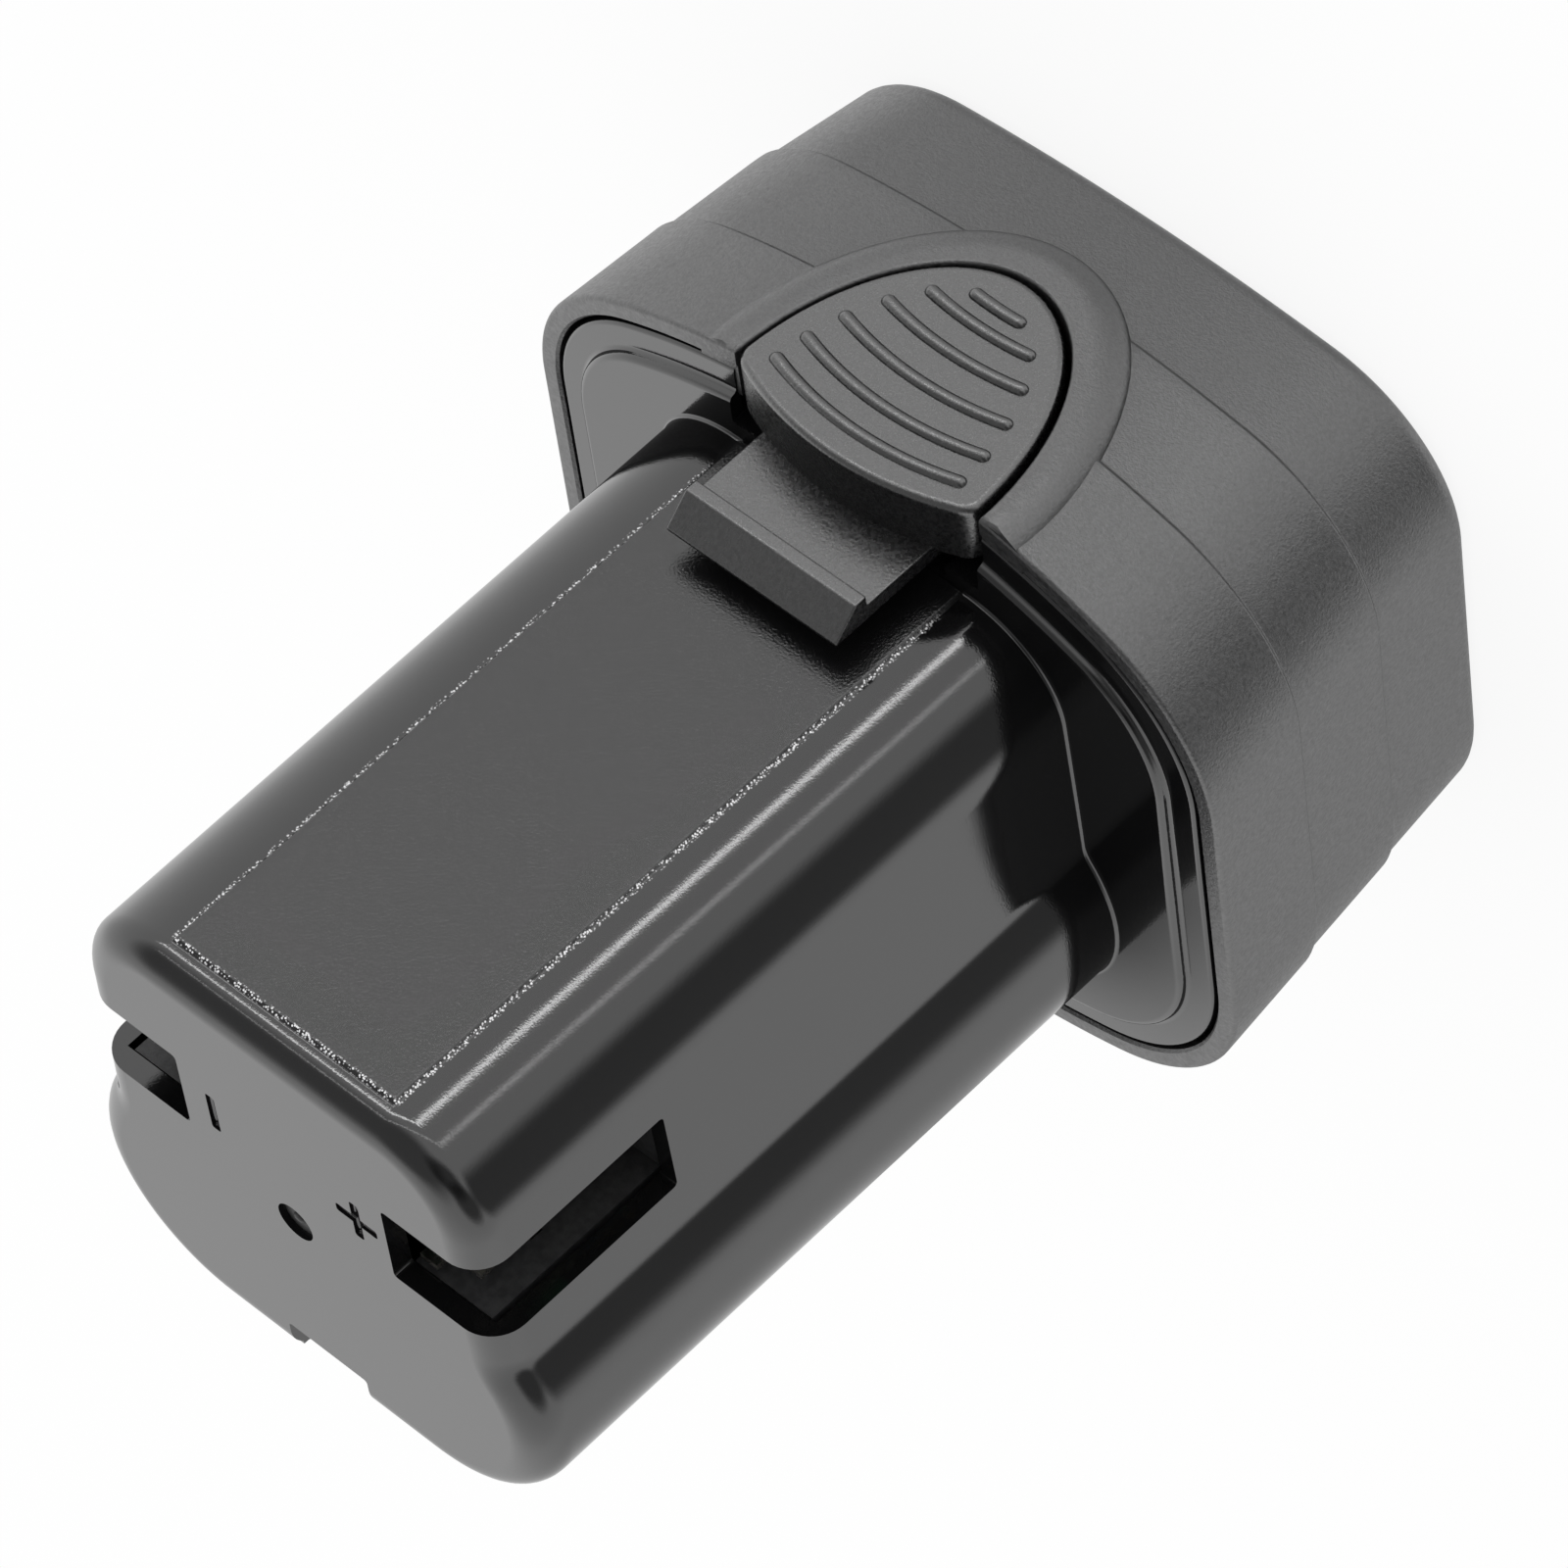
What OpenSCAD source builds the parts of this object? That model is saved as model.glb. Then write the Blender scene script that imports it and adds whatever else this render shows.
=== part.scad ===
// Slide-in battery pack of the 10.8 V class: base cup, plug stem, sprung latch button,
// three round cells and the board with its contacts. Millimetres, standing on the base, +Z to the tip,
// -Y to the button side, positive contact on the -X side.

/* [Cells] */
// Diameter of one cell
cell_d = 18.4; // [18:0.1:18.6]
// Height of the positive button
button_h = 0.9; // [0.6:0.1:1.5]
// Diameter of the positive button
button_d = 8; // [6:0.5:10]
// Free width between the two rear cells
rear_gap = 0.6; // [0.4:0.1:1]
// Free width between the front cell and each rear cell
front_gap = 0.1; // [0.1:0.05:0.3]
// Distance of the rear cells behind the middle
rear_row_y = 8.2; // [8:0.1:8.4]
// Free height from the cells to the tip, which sets the cells' length
tip_room = 13; // [12.5:0.1:13.5]
// Thickness of the paper rings
ring_t = 0.25; // [0.15:0.05:0.4]
// Thickness of the nickel strips
strip_t = 0.2; // [0.1:0.05:0.3]
// Width of the nickel strips
strip_w = 7; // [5:0.5:8]
// Thickness of the insulating papers
paper_t = 0.4; // [0.2:0.1:0.6]
// Thickness of the foam pad
foam_t = 2.2; // [1.5:0.1:3]
// Radius of the leads
lead_r = 0.8; // [0.6:0.1:1]

/* [Stem] */
// Length of the stem from the rim to the tip
stem_len = 55; // [54:0.5:58]
// Width of the front part of the stem
stem_w = 35.8; // [35.4:0.1:36.6]
// Distance of the front face from the middle
stem_front = 19; // [18.8:0.05:19.2]
// Radius of the front corners
stem_corner_r = 7.6; // [7:0.1:8.2]
// Radius of the hollow blend ahead of the rear bulge
stem_blend_r = 3; // [2:0.25:4]
// Wall thickness of the stem
stem_wall = 1.5; // [1.3:0.1:1.6]
// Wall thickness at the tip
tip_wall = 1.6; // [1.4:0.1:2]
// Rounding of the tip edge
tip_round = 2.8; // [2:0.1:3.2]
// Width of the raised front panel
panel_w = 20; // [17:0.5:20]
// Height of the raised front panel
panel_rise = 0.25; // [0.15:0.05:0.35]
// Length of the contact slots
slot_len = 16.6; // [15:0.2:18]
// Height of the contact slots
slot_h = 7.2; // [7:0.1:7.6]
// Distance of the slot middle ahead of the middle
slot_y = 5.85; // [5.6:0.05:6]
// Distance of the slot's inner wall from the middle
slot_in = 9.25; // [9:0.05:9.5]
// Half width of the key notch in the tip's rear edge
key_half = 3.6; // [3:0.1:4]
// Depth of the key notch
key_depth = 3.9; // [3.4:0.1:4.4]
// Length of the key notch
key_len = 4.6; // [4:0.1:5]
// Thickness of the flange
flange_t = 2.5; // [2:0.1:3]
// Height of the raised middle of the flange
plateau_h = 0.7; // [0.4:0.1:1]
// Width of the flange ring outside the raised middle
ledge_w = 2.3; // [1.5:0.1:3]

/* [Base cup] */
// Height of the base cup
base_h = 28; // [27:0.5:30]
// Width of the base cup at the rim
base_w = 60.5; // [60:0.25:63]
// Distance of the front arc from the middle
base_front = 28.2; // [28:0.1:28.6]
// Distance of the back arc from the middle
base_back = 27.15; // [27:0.05:28]
// Radius of the front arc
base_front_r = 52; // [48:0.5:60]
// Radius of the back arc
base_back_r = 66.5; // [60:0.5:80]
// Radius of the front corners
base_front_corner_r = 15; // [14.5:0.1:15.5]
// Radius of the back corners
base_back_corner_r = 16; // [15.5:0.1:16.5]
// Height of each stepped band below the rim
band_h = 8.9; // [8:0.1:9.4]
// Inset of each step
band_step = 0.28; // [0.2:0.02:0.35]
// Inset of the walls by their draft, for each millimetre of height
draft = 0.095; // [0.08:0.005:0.1]
// Rounding of the end edge
end_round = 1.5; // [1:0.1:2]
// Inset of the front's middle at the end, where the front is flatter
front_flat = 2; // [1.6:0.1:2.2]
// Gain of the front arc's radius at the end
front_flat_r = 110; // [80:5:140]
// Wall thickness of the cup
cup_wall = 1.65; // [1.5:0.05:1.8]
// Thickness of the cup's floor
cup_floor = 2.2; // [1.8:0.1:2.6]

/* [Latch button] */
// Half width of the pad at the rim
pad_half = 10.4; // [9.5:0.1:10.8]
// Length of the pad below the rim
pad_len = 16.4; // [15.5:0.1:17]
// Height of the pad's front edge above the rim
pad_crown = 2.3; // [1.5:0.1:3]
// Distance of the pad's top behind the cup's front arc
pad_inset = 1.1; // [0.8:0.05:1.2]
// Rounding of the pad's edge
pad_round = 0.8; // [0.5:0.1:1.2]
// Height of the ribs on the pad
rib_h = 0.5; // [0.3:0.05:0.7]
// Width of the ribs on the pad
rib_w = 1.2; // [0.8:0.1:1.5]
// Distance from rib to rib
rib_pitch = 2.45; // [2.2:0.05:2.6]
// Width of the raised collar round the pad
collar_w = 3.2; // [2.8:0.1:3.6]
// Distance of the collar's crest behind the cup's front arc
collar_inset = 0.9; // [0.6:0.05:1.1]
// Half width of the latch tongue
tongue_half = 7.5; // [6:0.1:8]
// Thickness of the latch tongue
tongue_t = 1.3; // [1:0.1:1.6]
// Length of the latch tongue above the rim
tongue_len = 10.3; // [9:0.1:12]
// Height of the latch tooth over the tongue
tooth_h = 0.9; // [0.6:0.05:1.2]
// Length of the latch tooth
tooth_len = 3.1; // [2.8:0.1:3.6]
// Travel of the button when it is pressed
press = 1.7; // [1:0.05:1.75]
// Outer radius of the return spring
spring_r = 2.9; // [2.6:0.1:3.1]
// Wire thickness of the return spring
spring_wire = 0.6; // [0.4:0.05:0.7]
// Number of coils of the return spring
spring_turns = 4; // [3:0.5:4.5]

/* [Board and contacts] */
// Thickness of the board
board_t = 1.6; // [1:0.1:1.6]
// Free height between the cells and the board
board_gap = 3; // [2.5:0.1:3.5]
// Thickness of the contact metal
contact_t = 0.5; // [0.4:0.05:0.6]
// Free width between the contact leaves
contact_gap = 4.4; // [4.3:0.05:4.6]
// Width of the contact leaves
contact_w = 4.2; // [4:0.1:4.8]
// Width of the ear at the inner end of each leaf
ear_w = 1.5; // [1:0.1:2]
// Height of the cell holders
holder_h = 6; // [4:0.5:7]
// Thickness of the upper holder's walls that line the slots
lining_t = 0.9; // [0.7:0.05:1]

/* [Fasteners] */
// Radius of the base screw shank
base_screw_r = 1.45; // [1.2:0.05:1.5]
// Radius of the base screw head
base_head_r = 2.2; // [2:0.05:2.3]
// Radius of the board screw shank
board_screw_r = 0.95; // [0.7:0.05:1]
// Radius of the board screw head
board_head_r = 1.7; // [1.5:0.05:1.8]

/* [Clearances] */
// Between cells and the walls round them
cell_clear = 0.2; // [0.15:0.05:0.3]
// Between the rear cells and the bulge
bulge_clear = 0.3; // [0.2:0.05:0.4]
// Between the flange and the cup's rim
rim_gap = 0.3; // [0.2:0.05:0.5]
// Between the button and its collar
pad_clear = 0.3; // [0.2:0.05:0.4]
// Between loose inner pieces and the walls
inner_clear = 0.15; // [0.1:0.05:0.3]
// Between a screw and its hole
screw_clear = 0.05; // [0.03:0.01:0.1]

/* [Hidden] */
$fn = 48;
overcut = 1;

// cell places and main heights
cell_r = cell_d / 2;
rear_x = cell_r + rear_gap / 2;
front_row_y = rear_row_y - sqrt(pow(cell_d + front_gap, 2) - rear_x * rear_x);
foam_z = cup_floor;
paper_z = foam_z + foam_t;
strip_z = paper_z + paper_t;
cell_z = strip_z + strip_t;
rim_z = base_h;
tip_z = rim_z + stem_len;
cell_top = tip_z - tip_room;
cell_len = cell_top - cell_z;

// stem section
bulge_r = cell_r + bulge_clear + stem_wall;
stem_half = stem_w / 2;
blend_x = stem_half + stem_blend_r;
blend_y = rear_row_y - sqrt(pow(bulge_r + stem_blend_r, 2) - pow(blend_x - rear_x, 2));
blend_angle = atan2(rear_row_y - blend_y, rear_x - blend_x);
stem_back = rear_row_y + bulge_r;
key_floor_y = stem_back - key_depth;
key_wall = 1.2;
key_rib_y = key_floor_y - key_wall;
key_rib_half = key_half + key_wall;
key_z = tip_z - key_len;

// base section
back_cy = base_back - base_back_r;
fcx = base_w / 2 - base_front_corner_r;
bcx = base_w / 2 - base_back_corner_r;
bcy = back_cy + sqrt(pow(base_back_r - base_back_corner_r, 2) - bcx * bcx);
bc_angle = atan2(bcy - back_cy, bcx);
step_1_z = rim_z - band_h;
step_2_z = rim_z - 2 * band_h;
step_rise = 0.4;
rim_round = 0.35;
end_inset = draft * base_h + 2 * band_step;
seat_depth = 4;
flange_inset = cup_wall + rim_gap;
flange_z = rim_z - flange_t;

// screw places
post_wall = 0.85;
head_clear = 0.2;
post_r = base_head_r + head_clear + post_wall;
post_top = 8.5;
head_seat_z = 6;
head_h = 2.2;
skirt_lift = 0.6;
skirt_z = post_top + skirt_lift;
front_post = [20.3, -14.6];
back_post = [20.2, 15];
base_screw_places = [front_post, [-front_post[0], front_post[1]], back_post, [-back_post[0], back_post[1]]];
base_screw_len = 13;

// latch places
pad_y = base_front - pad_inset;
collar_y = base_front - collar_inset;
opening_half = pad_half + pad_clear;
opening_len = pad_len + pad_clear;
frame_wall = 1.2;
frame_half = opening_half + frame_wall;
frame_len = opening_len + frame_wall;
frame_share = 0.7;
collar_drop = 0.2;
collar_taper = 1.25;
tongue_root = 0.2;
tongue_back_y = -stem_front - panel_rise - press - pad_clear;
tongue_front_y = tongue_back_y - tongue_t;
frame_back_y = -pad_y + frame_share * (pad_y + tongue_front_y);
pad_back_y = tongue_front_y + tongue_root;
lip_over = 0.8;
lip_len = pad_len - 2;
lip_rest = 0.05;
lip_front_y = frame_back_y + lip_rest;
lip_t = pad_back_y - pad_clear - lip_front_y;
tongue_z = rim_z - 3.5;
tongue_end_z = rim_z + tongue_len;
notch_half = frame_half + rim_gap;
spring_z = rim_z - 8;
spring_seat_y = -stem_front;
pad_skin = 1.7;
pocket_floor_y = -pad_y + pad_skin;
spring_clear = 0.3;
pocket_r = spring_r + spring_clear;
peg_r = spring_r - spring_wire - spring_clear;
peg_len = 2;
spring_end_gap = 0.05;
rib_count = 6;
rib_first = 1.3;
rib_arc_r = 27;
rib_reach_half = 8.1;
rib_reach_len = 14.2;

// holders, board and contacts
paper_inset = 1;
lower_holder_z = skirt_z + 1;
slot_floor = 0.4;
upper_holder_top = tip_z - slot_len - slot_floor;
upper_holder_z = upper_holder_top - holder_h;
board_z = cell_top + board_gap;
board_top = board_z + board_t;
board_inset = stem_wall + 0.4;
slot_near = -slot_y + slot_h / 2;
slot_far = -slot_y - slot_h / 2;
notch_x = slot_in - 0.8;
lining_near = slot_near + inner_clear;
lining_x = slot_in + inner_clear;
lining_top = tip_z - tip_wall - inner_clear;
notch_near = lining_near + lining_t + inner_clear;
notch_far = slot_far - 0.85;
front_board_post = [12.2, -14.4];
rear_board_post = [0, rear_row_y + 5.8];
board_screw_places = [front_board_post, [-front_board_post[0], front_board_post[1]], rear_board_post];
board_post_r = board_screw_r + 0.7;
board_screw_len = 5;
board_head_h = 1.3;
contact_x = slot_in + 0.6;
contact_top = tip_z - tip_wall - 1.6;
ear_top = tip_z - tip_wall - 2 * inner_clear;
contact_flare = 0.4;
contact_tab_x = contact_x + 1.2;
contact_tab_w = 2.6;
tab_clear = 0.3;
contact_tab_reach = 2.2;
lead_place = [14.6, -11.4];
lead_hole_r = lead_r + 0.3;
lead_steps = [[cell_z, -2.6, 0.6], [cell_z + 1.8, -2.2, 0.5], [lower_holder_z - 0.4, 0, 0],
    [upper_holder_top, 0, 0], [upper_holder_top + 4, -0.3, -0.3], [board_z, -0.6, -0.6]];
riser_out = 5;
riser_x = rear_x + riser_out;

// parts on the board
mosfet_x = 6;
mosfet_y = 7;
mosfet_w = 6.5;
mosfet_d = 6.1;
mosfet_h = 2.3;
controller_y = 6;
controller_w = 5;
controller_h = 1;
passive_x = 5;
passive_y = 6.5;
passive_pitch = 2.5;
passive_w = 1.6;
passive_d = 0.8;
passive_h = 0.5;
shunt_y = 13;
shunt_w = 6.4;
shunt_d = 3.2;
shunt_h = 0.8;

// outlines
function arc(cx, cy, r, a0, a1, n) =
    [for (i = [0:n]) let (a = a0 + (a1 - a0) * i / n) [cx + r * cos(a), cy + r * sin(a)]];
function mirrored(p) = [for (i = [len(p) - 1:-1:0]) [-p[i][0], p[i][1]]];
function inner(p) = [for (i = [1:len(p) - 2]) p[i]];
function tail(p) = [for (i = [1:len(p) - 1]) p[i]];
function ring(cx, cy, r, n) = [for (i = [0:n - 1]) [cx + r * cos(360 * i / n), cy + r * sin(360 * i / n)]];

// share of the front's flattening at a height
function flatness(z) = pow(max(0, rim_z - z) / base_h, 2);
function base_half(d, z) = let (
    r = base_front_r + front_flat_r * flatness(z),
    cy = r - base_front + front_flat * flatness(z),
    fcy = cy - sqrt(pow(r - base_front_corner_r, 2) - fcx * fcx),
    angle = atan2(fcy - cy, fcx)) concat(
    arc(0, cy, r - d, -90, angle, 6),
    tail(arc(fcx, fcy, base_front_corner_r - d, angle, 0, 8)),
    arc(bcx, bcy, base_back_corner_r - d, 0, bc_angle, 8),
    tail(arc(0, back_cy, base_back_r - d, bc_angle, 90, 5)));
function base_outline(d, z) = concat(base_half(d, z), mirrored(inner(base_half(d, z))));

function stem_side(d) = concat(
    arc(stem_half - stem_corner_r, stem_corner_r - stem_front, stem_corner_r - d, -90, 0, 8),
    arc(blend_x, blend_y, stem_blend_r + d, 180, blend_angle, 4),
    tail(arc(rear_x, rear_row_y, bulge_r - d, blend_angle - 180, 90, 12)));
function stem_outline(d) = concat(stem_side(d), mirrored(stem_side(d)));

// half ellipse below the rim, closed above it by a straight top or a crown
function pad_outline(half, depth, top) = concat(
    [for (i = [0:24]) let (a = 180 + 180 * i / 24) [half * cos(a), depth * sin(a)]],
    [for (i = [1:7]) let (t = 1 - i / 4) [half * t, top * (1 - t * t)]]);
function flat_outline(half, depth, top) = let (a0 = top < 0 ? asin(-top / depth) : 0) concat(
    [for (i = [0:24]) let (a = 180 + a0 + (180 - 2 * a0) * i / 24) [half * cos(a), depth * sin(a)]],
    top > 0 ? [[half, top], [-half, top]] : []);

// inset of the cup's wall at a height
function cup_inset(z) = draft * (rim_z - z) + (z < step_1_z ? band_step : 0) + (z < step_2_z ? band_step : 0);

// solid between closed loops, each loop given as its height and its points
module loft(loops) {
    n = len(loops[0][1]);
    m = len(loops);
    middle = [for (l = [loops[0], loops[m - 1]]) let (c = [for (q = l[1]) 1] * l[1] / n) [c[0], c[1], l[0]]];
    points = concat([for (l = loops) for (p = l[1]) [p[0], p[1], l[0]]], middle);
    sides = [for (j = [0:m - 2]) for (i = [0:n - 1]) let (k = (i + 1) % n)
        each [[j * n + i, (j + 1) * n + i, (j + 1) * n + k], [j * n + i, (j + 1) * n + k, j * n + k]]];
    ends = [for (i = [0:n - 1]) let (k = (i + 1) % n)
        each [[m * n, i, k], [m * n + 1, (m - 1) * n + k, (m - 1) * n + i]]];
    polyhedron(points = points, faces = concat(sides, ends));
}

// turns a solid raised along +Z from the rim plane so that it stands out to the front
module to_front() {
    translate([0, 0, rim_z]) rotate([90, 0, 0]) children();
}

module cell(up) {
    can = cell_len - button_h;
    translate([0, 0, up ? 0 : button_h]) cylinder(r = cell_r, h = can);
    translate([0, 0, up ? can - overcut : 0]) cylinder(d = button_d, h = button_h + overcut);
}

module base_cup() {
    fillet = [for (i = [0:5]) let (a = 90 * i / 5)
        [end_round * (1 - cos(a)), end_inset - draft * end_round + end_round * (1 - sin(a))]];
    outer = concat(
        [for (f = fillet) [f[0], base_outline(f[1], f[0])]],
        [for (z = [step_2_z - step_rise, step_2_z, step_1_z - step_rise, step_1_z])
            [z, base_outline(cup_inset(z), z)]],
        [[rim_z - rim_round, base_outline(draft * rim_round, rim_z)], [rim_z, base_outline(rim_round, rim_z)]]);
    cavity = [
        [cup_floor, base_outline(end_inset + cup_wall + end_round, cup_floor)],
        [cup_floor + end_round, base_outline(end_inset + cup_wall, cup_floor)],
        for (z = [step_2_z, step_1_z]) [z, base_outline(cup_inset(z - step_rise) + cup_wall, z)],
        [rim_z - seat_depth, base_outline(cup_wall, rim_z)],
        [rim_z + overcut, base_outline(cup_wall, rim_z)]];
    flank = [[collar_y - 4.2, 0], [collar_y - 1.6, 0.1], [collar_y - 0.5, 1], [collar_y, 2.2]];
    color([0.2, 0.2, 0.21]) difference() {
        union() {
            difference() {
                union() {
                    loft(outer);
                    to_front() loft([for (f = flank) [f[0], flat_outline(
                        opening_half + collar_w - f[1],
                        opening_len + collar_taper * collar_w - f[1],
                        -collar_drop)]]);
                }
                loft(cavity);
            }
            to_front() translate([0, 0, -frame_back_y]) linear_extrude(collar_y - 1.5 + frame_back_y)
                polygon(flat_outline(frame_half, frame_len, -collar_drop));
            for (p = base_screw_places) translate([p[0], p[1], cup_floor / 2])
                cylinder(r = post_r, h = post_top - cup_floor / 2);
        }
        to_front() translate([0, 0, -frame_back_y - overcut]) linear_extrude(2 * pad_y)
            polygon(flat_outline(opening_half, opening_len, overcut));
        for (p = base_screw_places) translate([p[0], p[1], -overcut]) {
            cylinder(r = base_head_r + head_clear, h = head_seat_z + overcut);
            cylinder(r = base_screw_r + head_clear, h = post_top + 2 * overcut);
        }
    }
}

module stem_housing() {
    rounding = [for (i = [0:5]) let (a = 90 * i / 5)
        [tip_z - tip_round + tip_round * sin(a), tip_round * (1 - cos(a))]];
    outer = concat([[skirt_z, stem_outline(0)]], [for (f = rounding) [f[0], stem_outline(f[1])]]);
    panel_top = tip_z - tip_round;
    mark_d = 0.4;
    mark_l = 3.7;
    mark_w = 0.8;
    mark_x = 6.5;
    mark_y = -5.8;
    color([0.08, 0.08, 0.08]) difference() {
        union() {
            loft(outer);
            translate([0, 0, flange_z]) linear_extrude(flange_t) polygon(base_outline(flange_inset, rim_z));
            translate([0, 0, flange_z]) linear_extrude(flange_t + plateau_h)
                polygon(base_outline(flange_inset + ledge_w, rim_z));
            translate([-panel_w / 2, -stem_front - panel_rise, rim_z])
                cube([panel_w, panel_rise + stem_wall / 2, panel_top - rim_z]);
            for (p = base_screw_places) translate([p[0], p[1], post_top])
                cylinder(r = post_r, h = flange_z - post_top + flange_t / 2);
            translate([0, spring_seat_y + stem_wall / 2, spring_z]) rotate([90, 0, 0])
                cylinder(r = peg_r, h = peg_len + stem_wall / 2);
        }
        difference() {
            translate([0, 0, skirt_z - overcut]) linear_extrude(tip_z - tip_wall - skirt_z + overcut)
                polygon(stem_outline(stem_wall));
            translate([-key_rib_half, key_rib_y, key_z - tip_wall])
                cube([2 * key_rib_half, stem_back - key_rib_y, key_len + overcut]);
        }
        for (s = [-1, 1]) translate([s > 0 ? slot_in : -stem_w, slot_far, tip_z - slot_len])
            cube([stem_w - slot_in, slot_h, slot_len + overcut]);
        translate([-key_half, key_floor_y, key_z]) cube([2 * key_half, key_depth + overcut, key_len + overcut]);
        translate([-notch_half, -base_front, flange_z - overcut])
            cube([2 * notch_half, base_front - stem_front - panel_rise, flange_t + plateau_h + 2 * overcut]);
        for (p = base_screw_places) translate([p[0], p[1], post_top - overcut])
            cylinder(r = base_screw_r + screw_clear, h = base_screw_len);
        translate([-mark_x - mark_l / 2, mark_y - mark_w / 2, tip_z - mark_d]) cube([mark_l, mark_w, overcut]);
        translate([-mark_x - mark_w / 2, mark_y - mark_l / 2, tip_z - mark_d]) cube([mark_w, mark_l, overcut]);
        translate([mark_x - mark_w / 2, mark_y - mark_l / 2, tip_z - mark_d]) cube([mark_w, mark_l, overcut]);
        translate([0.2, 0.6, tip_z - mark_d]) cylinder(d = 3.1, h = overcut);
    }
}

module latch_button() {
    edge = [for (i = [0:4]) let (a = 90 * i / 4)
        [pad_y - pad_round + pad_round * sin(a), pad_round * (1 - cos(a))]];
    pad = concat([[-pad_back_y, 0]], edge);
    tooth_y = tongue_front_y - tooth_h;
    color([0.16, 0.16, 0.17]) difference() {
        union() {
            to_front() loft([for (e = pad)
                [e[0], pad_outline(pad_half - e[1], pad_len - e[1], pad_crown - e[1] / 2)]]);
            to_front() translate([0, 0, -lip_front_y - lip_t]) linear_extrude(lip_t)
                polygon(flat_outline(opening_half + lip_over, lip_len, -rim_gap));
            for (i = [0:rib_count - 1]) {
                depth = rib_first + rib_pitch * i;
                reach = rib_reach_half * sqrt(1 - pow(depth / rib_reach_len, 2));
                swing = asin(reach / rib_arc_r);
                cy = -depth - rib_arc_r * cos(swing);
                to_front() translate([0, 0, pad_y - rib_h]) linear_extrude(2 * rib_h) polygon(concat(
                    arc(0, cy, rib_arc_r + rib_w / 2, 90 - swing, 90 + swing, 8),
                    arc(0, cy, rib_arc_r - rib_w / 2, 90 + swing, 90 - swing, 8)));
            }
            translate([-tongue_half, tongue_front_y, tongue_z])
                cube([2 * tongue_half, tongue_t, tongue_end_z - tooth_len / 2 - tongue_z]);
            translate([-tongue_half, 0, 0]) rotate([90, 0, 90]) linear_extrude(2 * tongue_half) polygon([
                [tongue_back_y, tongue_end_z - tooth_len],
                [tooth_y, tongue_end_z - tooth_len],
                [tooth_y, tongue_end_z - tooth_len * 2 / 3],
                [tongue_back_y - 0.2, tongue_end_z],
                [tongue_back_y, tongue_end_z]]);
        }
        translate([0, pad_back_y + overcut, spring_z]) rotate([90, 0, 0])
            cylinder(r = pocket_r, h = pad_back_y + overcut - pocket_floor_y);
    }
}

module latch_spring() {
    coil_r = spring_r - spring_wire / 2;
    sides = 6;
    steps = 8 * spring_turns;
    start_y = pocket_floor_y + spring_end_gap + spring_wire / 2;
    end_y = spring_seat_y - spring_end_gap - spring_wire / 2;
    points = [for (i = [0:steps])
        let (a = 360 * spring_turns * i / steps, y = start_y + (end_y - start_y) * i / steps)
        for (j = [0:sides - 1]) let (b = 360 * j / sides, r = coil_r + spring_wire / 2 * cos(b))
            [r * cos(a), y + spring_wire / 2 * sin(b), r * sin(a)]];
    walls = [for (i = [0:steps - 1]) for (j = [0:sides - 1]) let (k = (j + 1) % sides)
        each [[i * sides + j, (i + 1) * sides + k, i * sides + k],
            [i * sides + j, (i + 1) * sides + j, (i + 1) * sides + k]]];
    caps = [[for (j = [0:sides - 1]) j], [for (j = [sides - 1:-1:0]) steps * sides + j]];
    color([0.75, 0.75, 0.75]) translate([0, 0, spring_z])
        polyhedron(points = points, faces = concat(walls, caps));
}

module cell_front() {
    color([0.2, 0.45, 0.65]) translate([0, front_row_y, cell_z]) cell(true);
}

module cell_rear_plus() {
    color([0.2, 0.45, 0.65]) translate([-rear_x, rear_row_y, cell_z]) cell(true);
}

module cell_rear_minus() {
    color([0.2, 0.45, 0.65]) translate([rear_x, rear_row_y, cell_z]) cell(false);
}

module cell_rings() {
    shoulder = cell_len - button_h;
    places = [[0, front_row_y, shoulder], [-rear_x, rear_row_y, shoulder],
        [rear_x, rear_row_y, button_h - ring_t]];
    color([0.9, 0.9, 0.85]) for (p = places) translate([p[0], p[1], cell_z + p[2]]) difference() {
        cylinder(r = cell_r - 0.5, h = ring_t);
        translate([0, 0, -overcut]) cylinder(d = button_d + 1, h = ring_t + 2 * overcut);
    }
}

module holder_section() {
    difference() {
        polygon(stem_outline(stem_wall + inner_clear));
        translate([0, front_row_y]) circle(r = cell_r + cell_clear);
        for (s = [-1, 1]) translate([s * rear_x, rear_row_y]) circle(r = cell_r + cell_clear);
        for (s = [-1, 1]) translate([s * lead_place[0], lead_place[1]]) circle(r = lead_hole_r);
    }
}

module lower_holder() {
    color([0.85, 0.82, 0.7]) translate([0, 0, lower_holder_z]) linear_extrude(holder_h) holder_section();
}

module upper_holder() {
    color([0.85, 0.82, 0.7]) difference() {
        union() {
            translate([0, 0, upper_holder_z]) linear_extrude(holder_h) holder_section();
            for (p = board_screw_places) translate([p[0], p[1], upper_holder_z + holder_h / 2])
                cylinder(r = board_post_r, h = board_z - upper_holder_z - holder_h / 2);
            for (s = [0, 1]) mirror([s, 0, 0])
                translate([lining_x, lining_near, upper_holder_top - overcut])
                    cube([stem_half - stem_wall - inner_clear - lining_x, lining_t,
                        lining_top - upper_holder_top + overcut]);
        }
        for (p = board_screw_places) translate([p[0], p[1], board_z - board_screw_len])
            cylinder(r = board_screw_r + screw_clear, h = board_screw_len + overcut);
        for (s = [0, 1]) mirror([s, 0, 0])
            translate([contact_tab_x - tab_clear, lining_near - overcut, board_top - tab_clear])
                cube([contact_tab_w + 2 * tab_clear, lining_t + 2 * overcut, contact_t + 2 * tab_clear]);
    }
}

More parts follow.
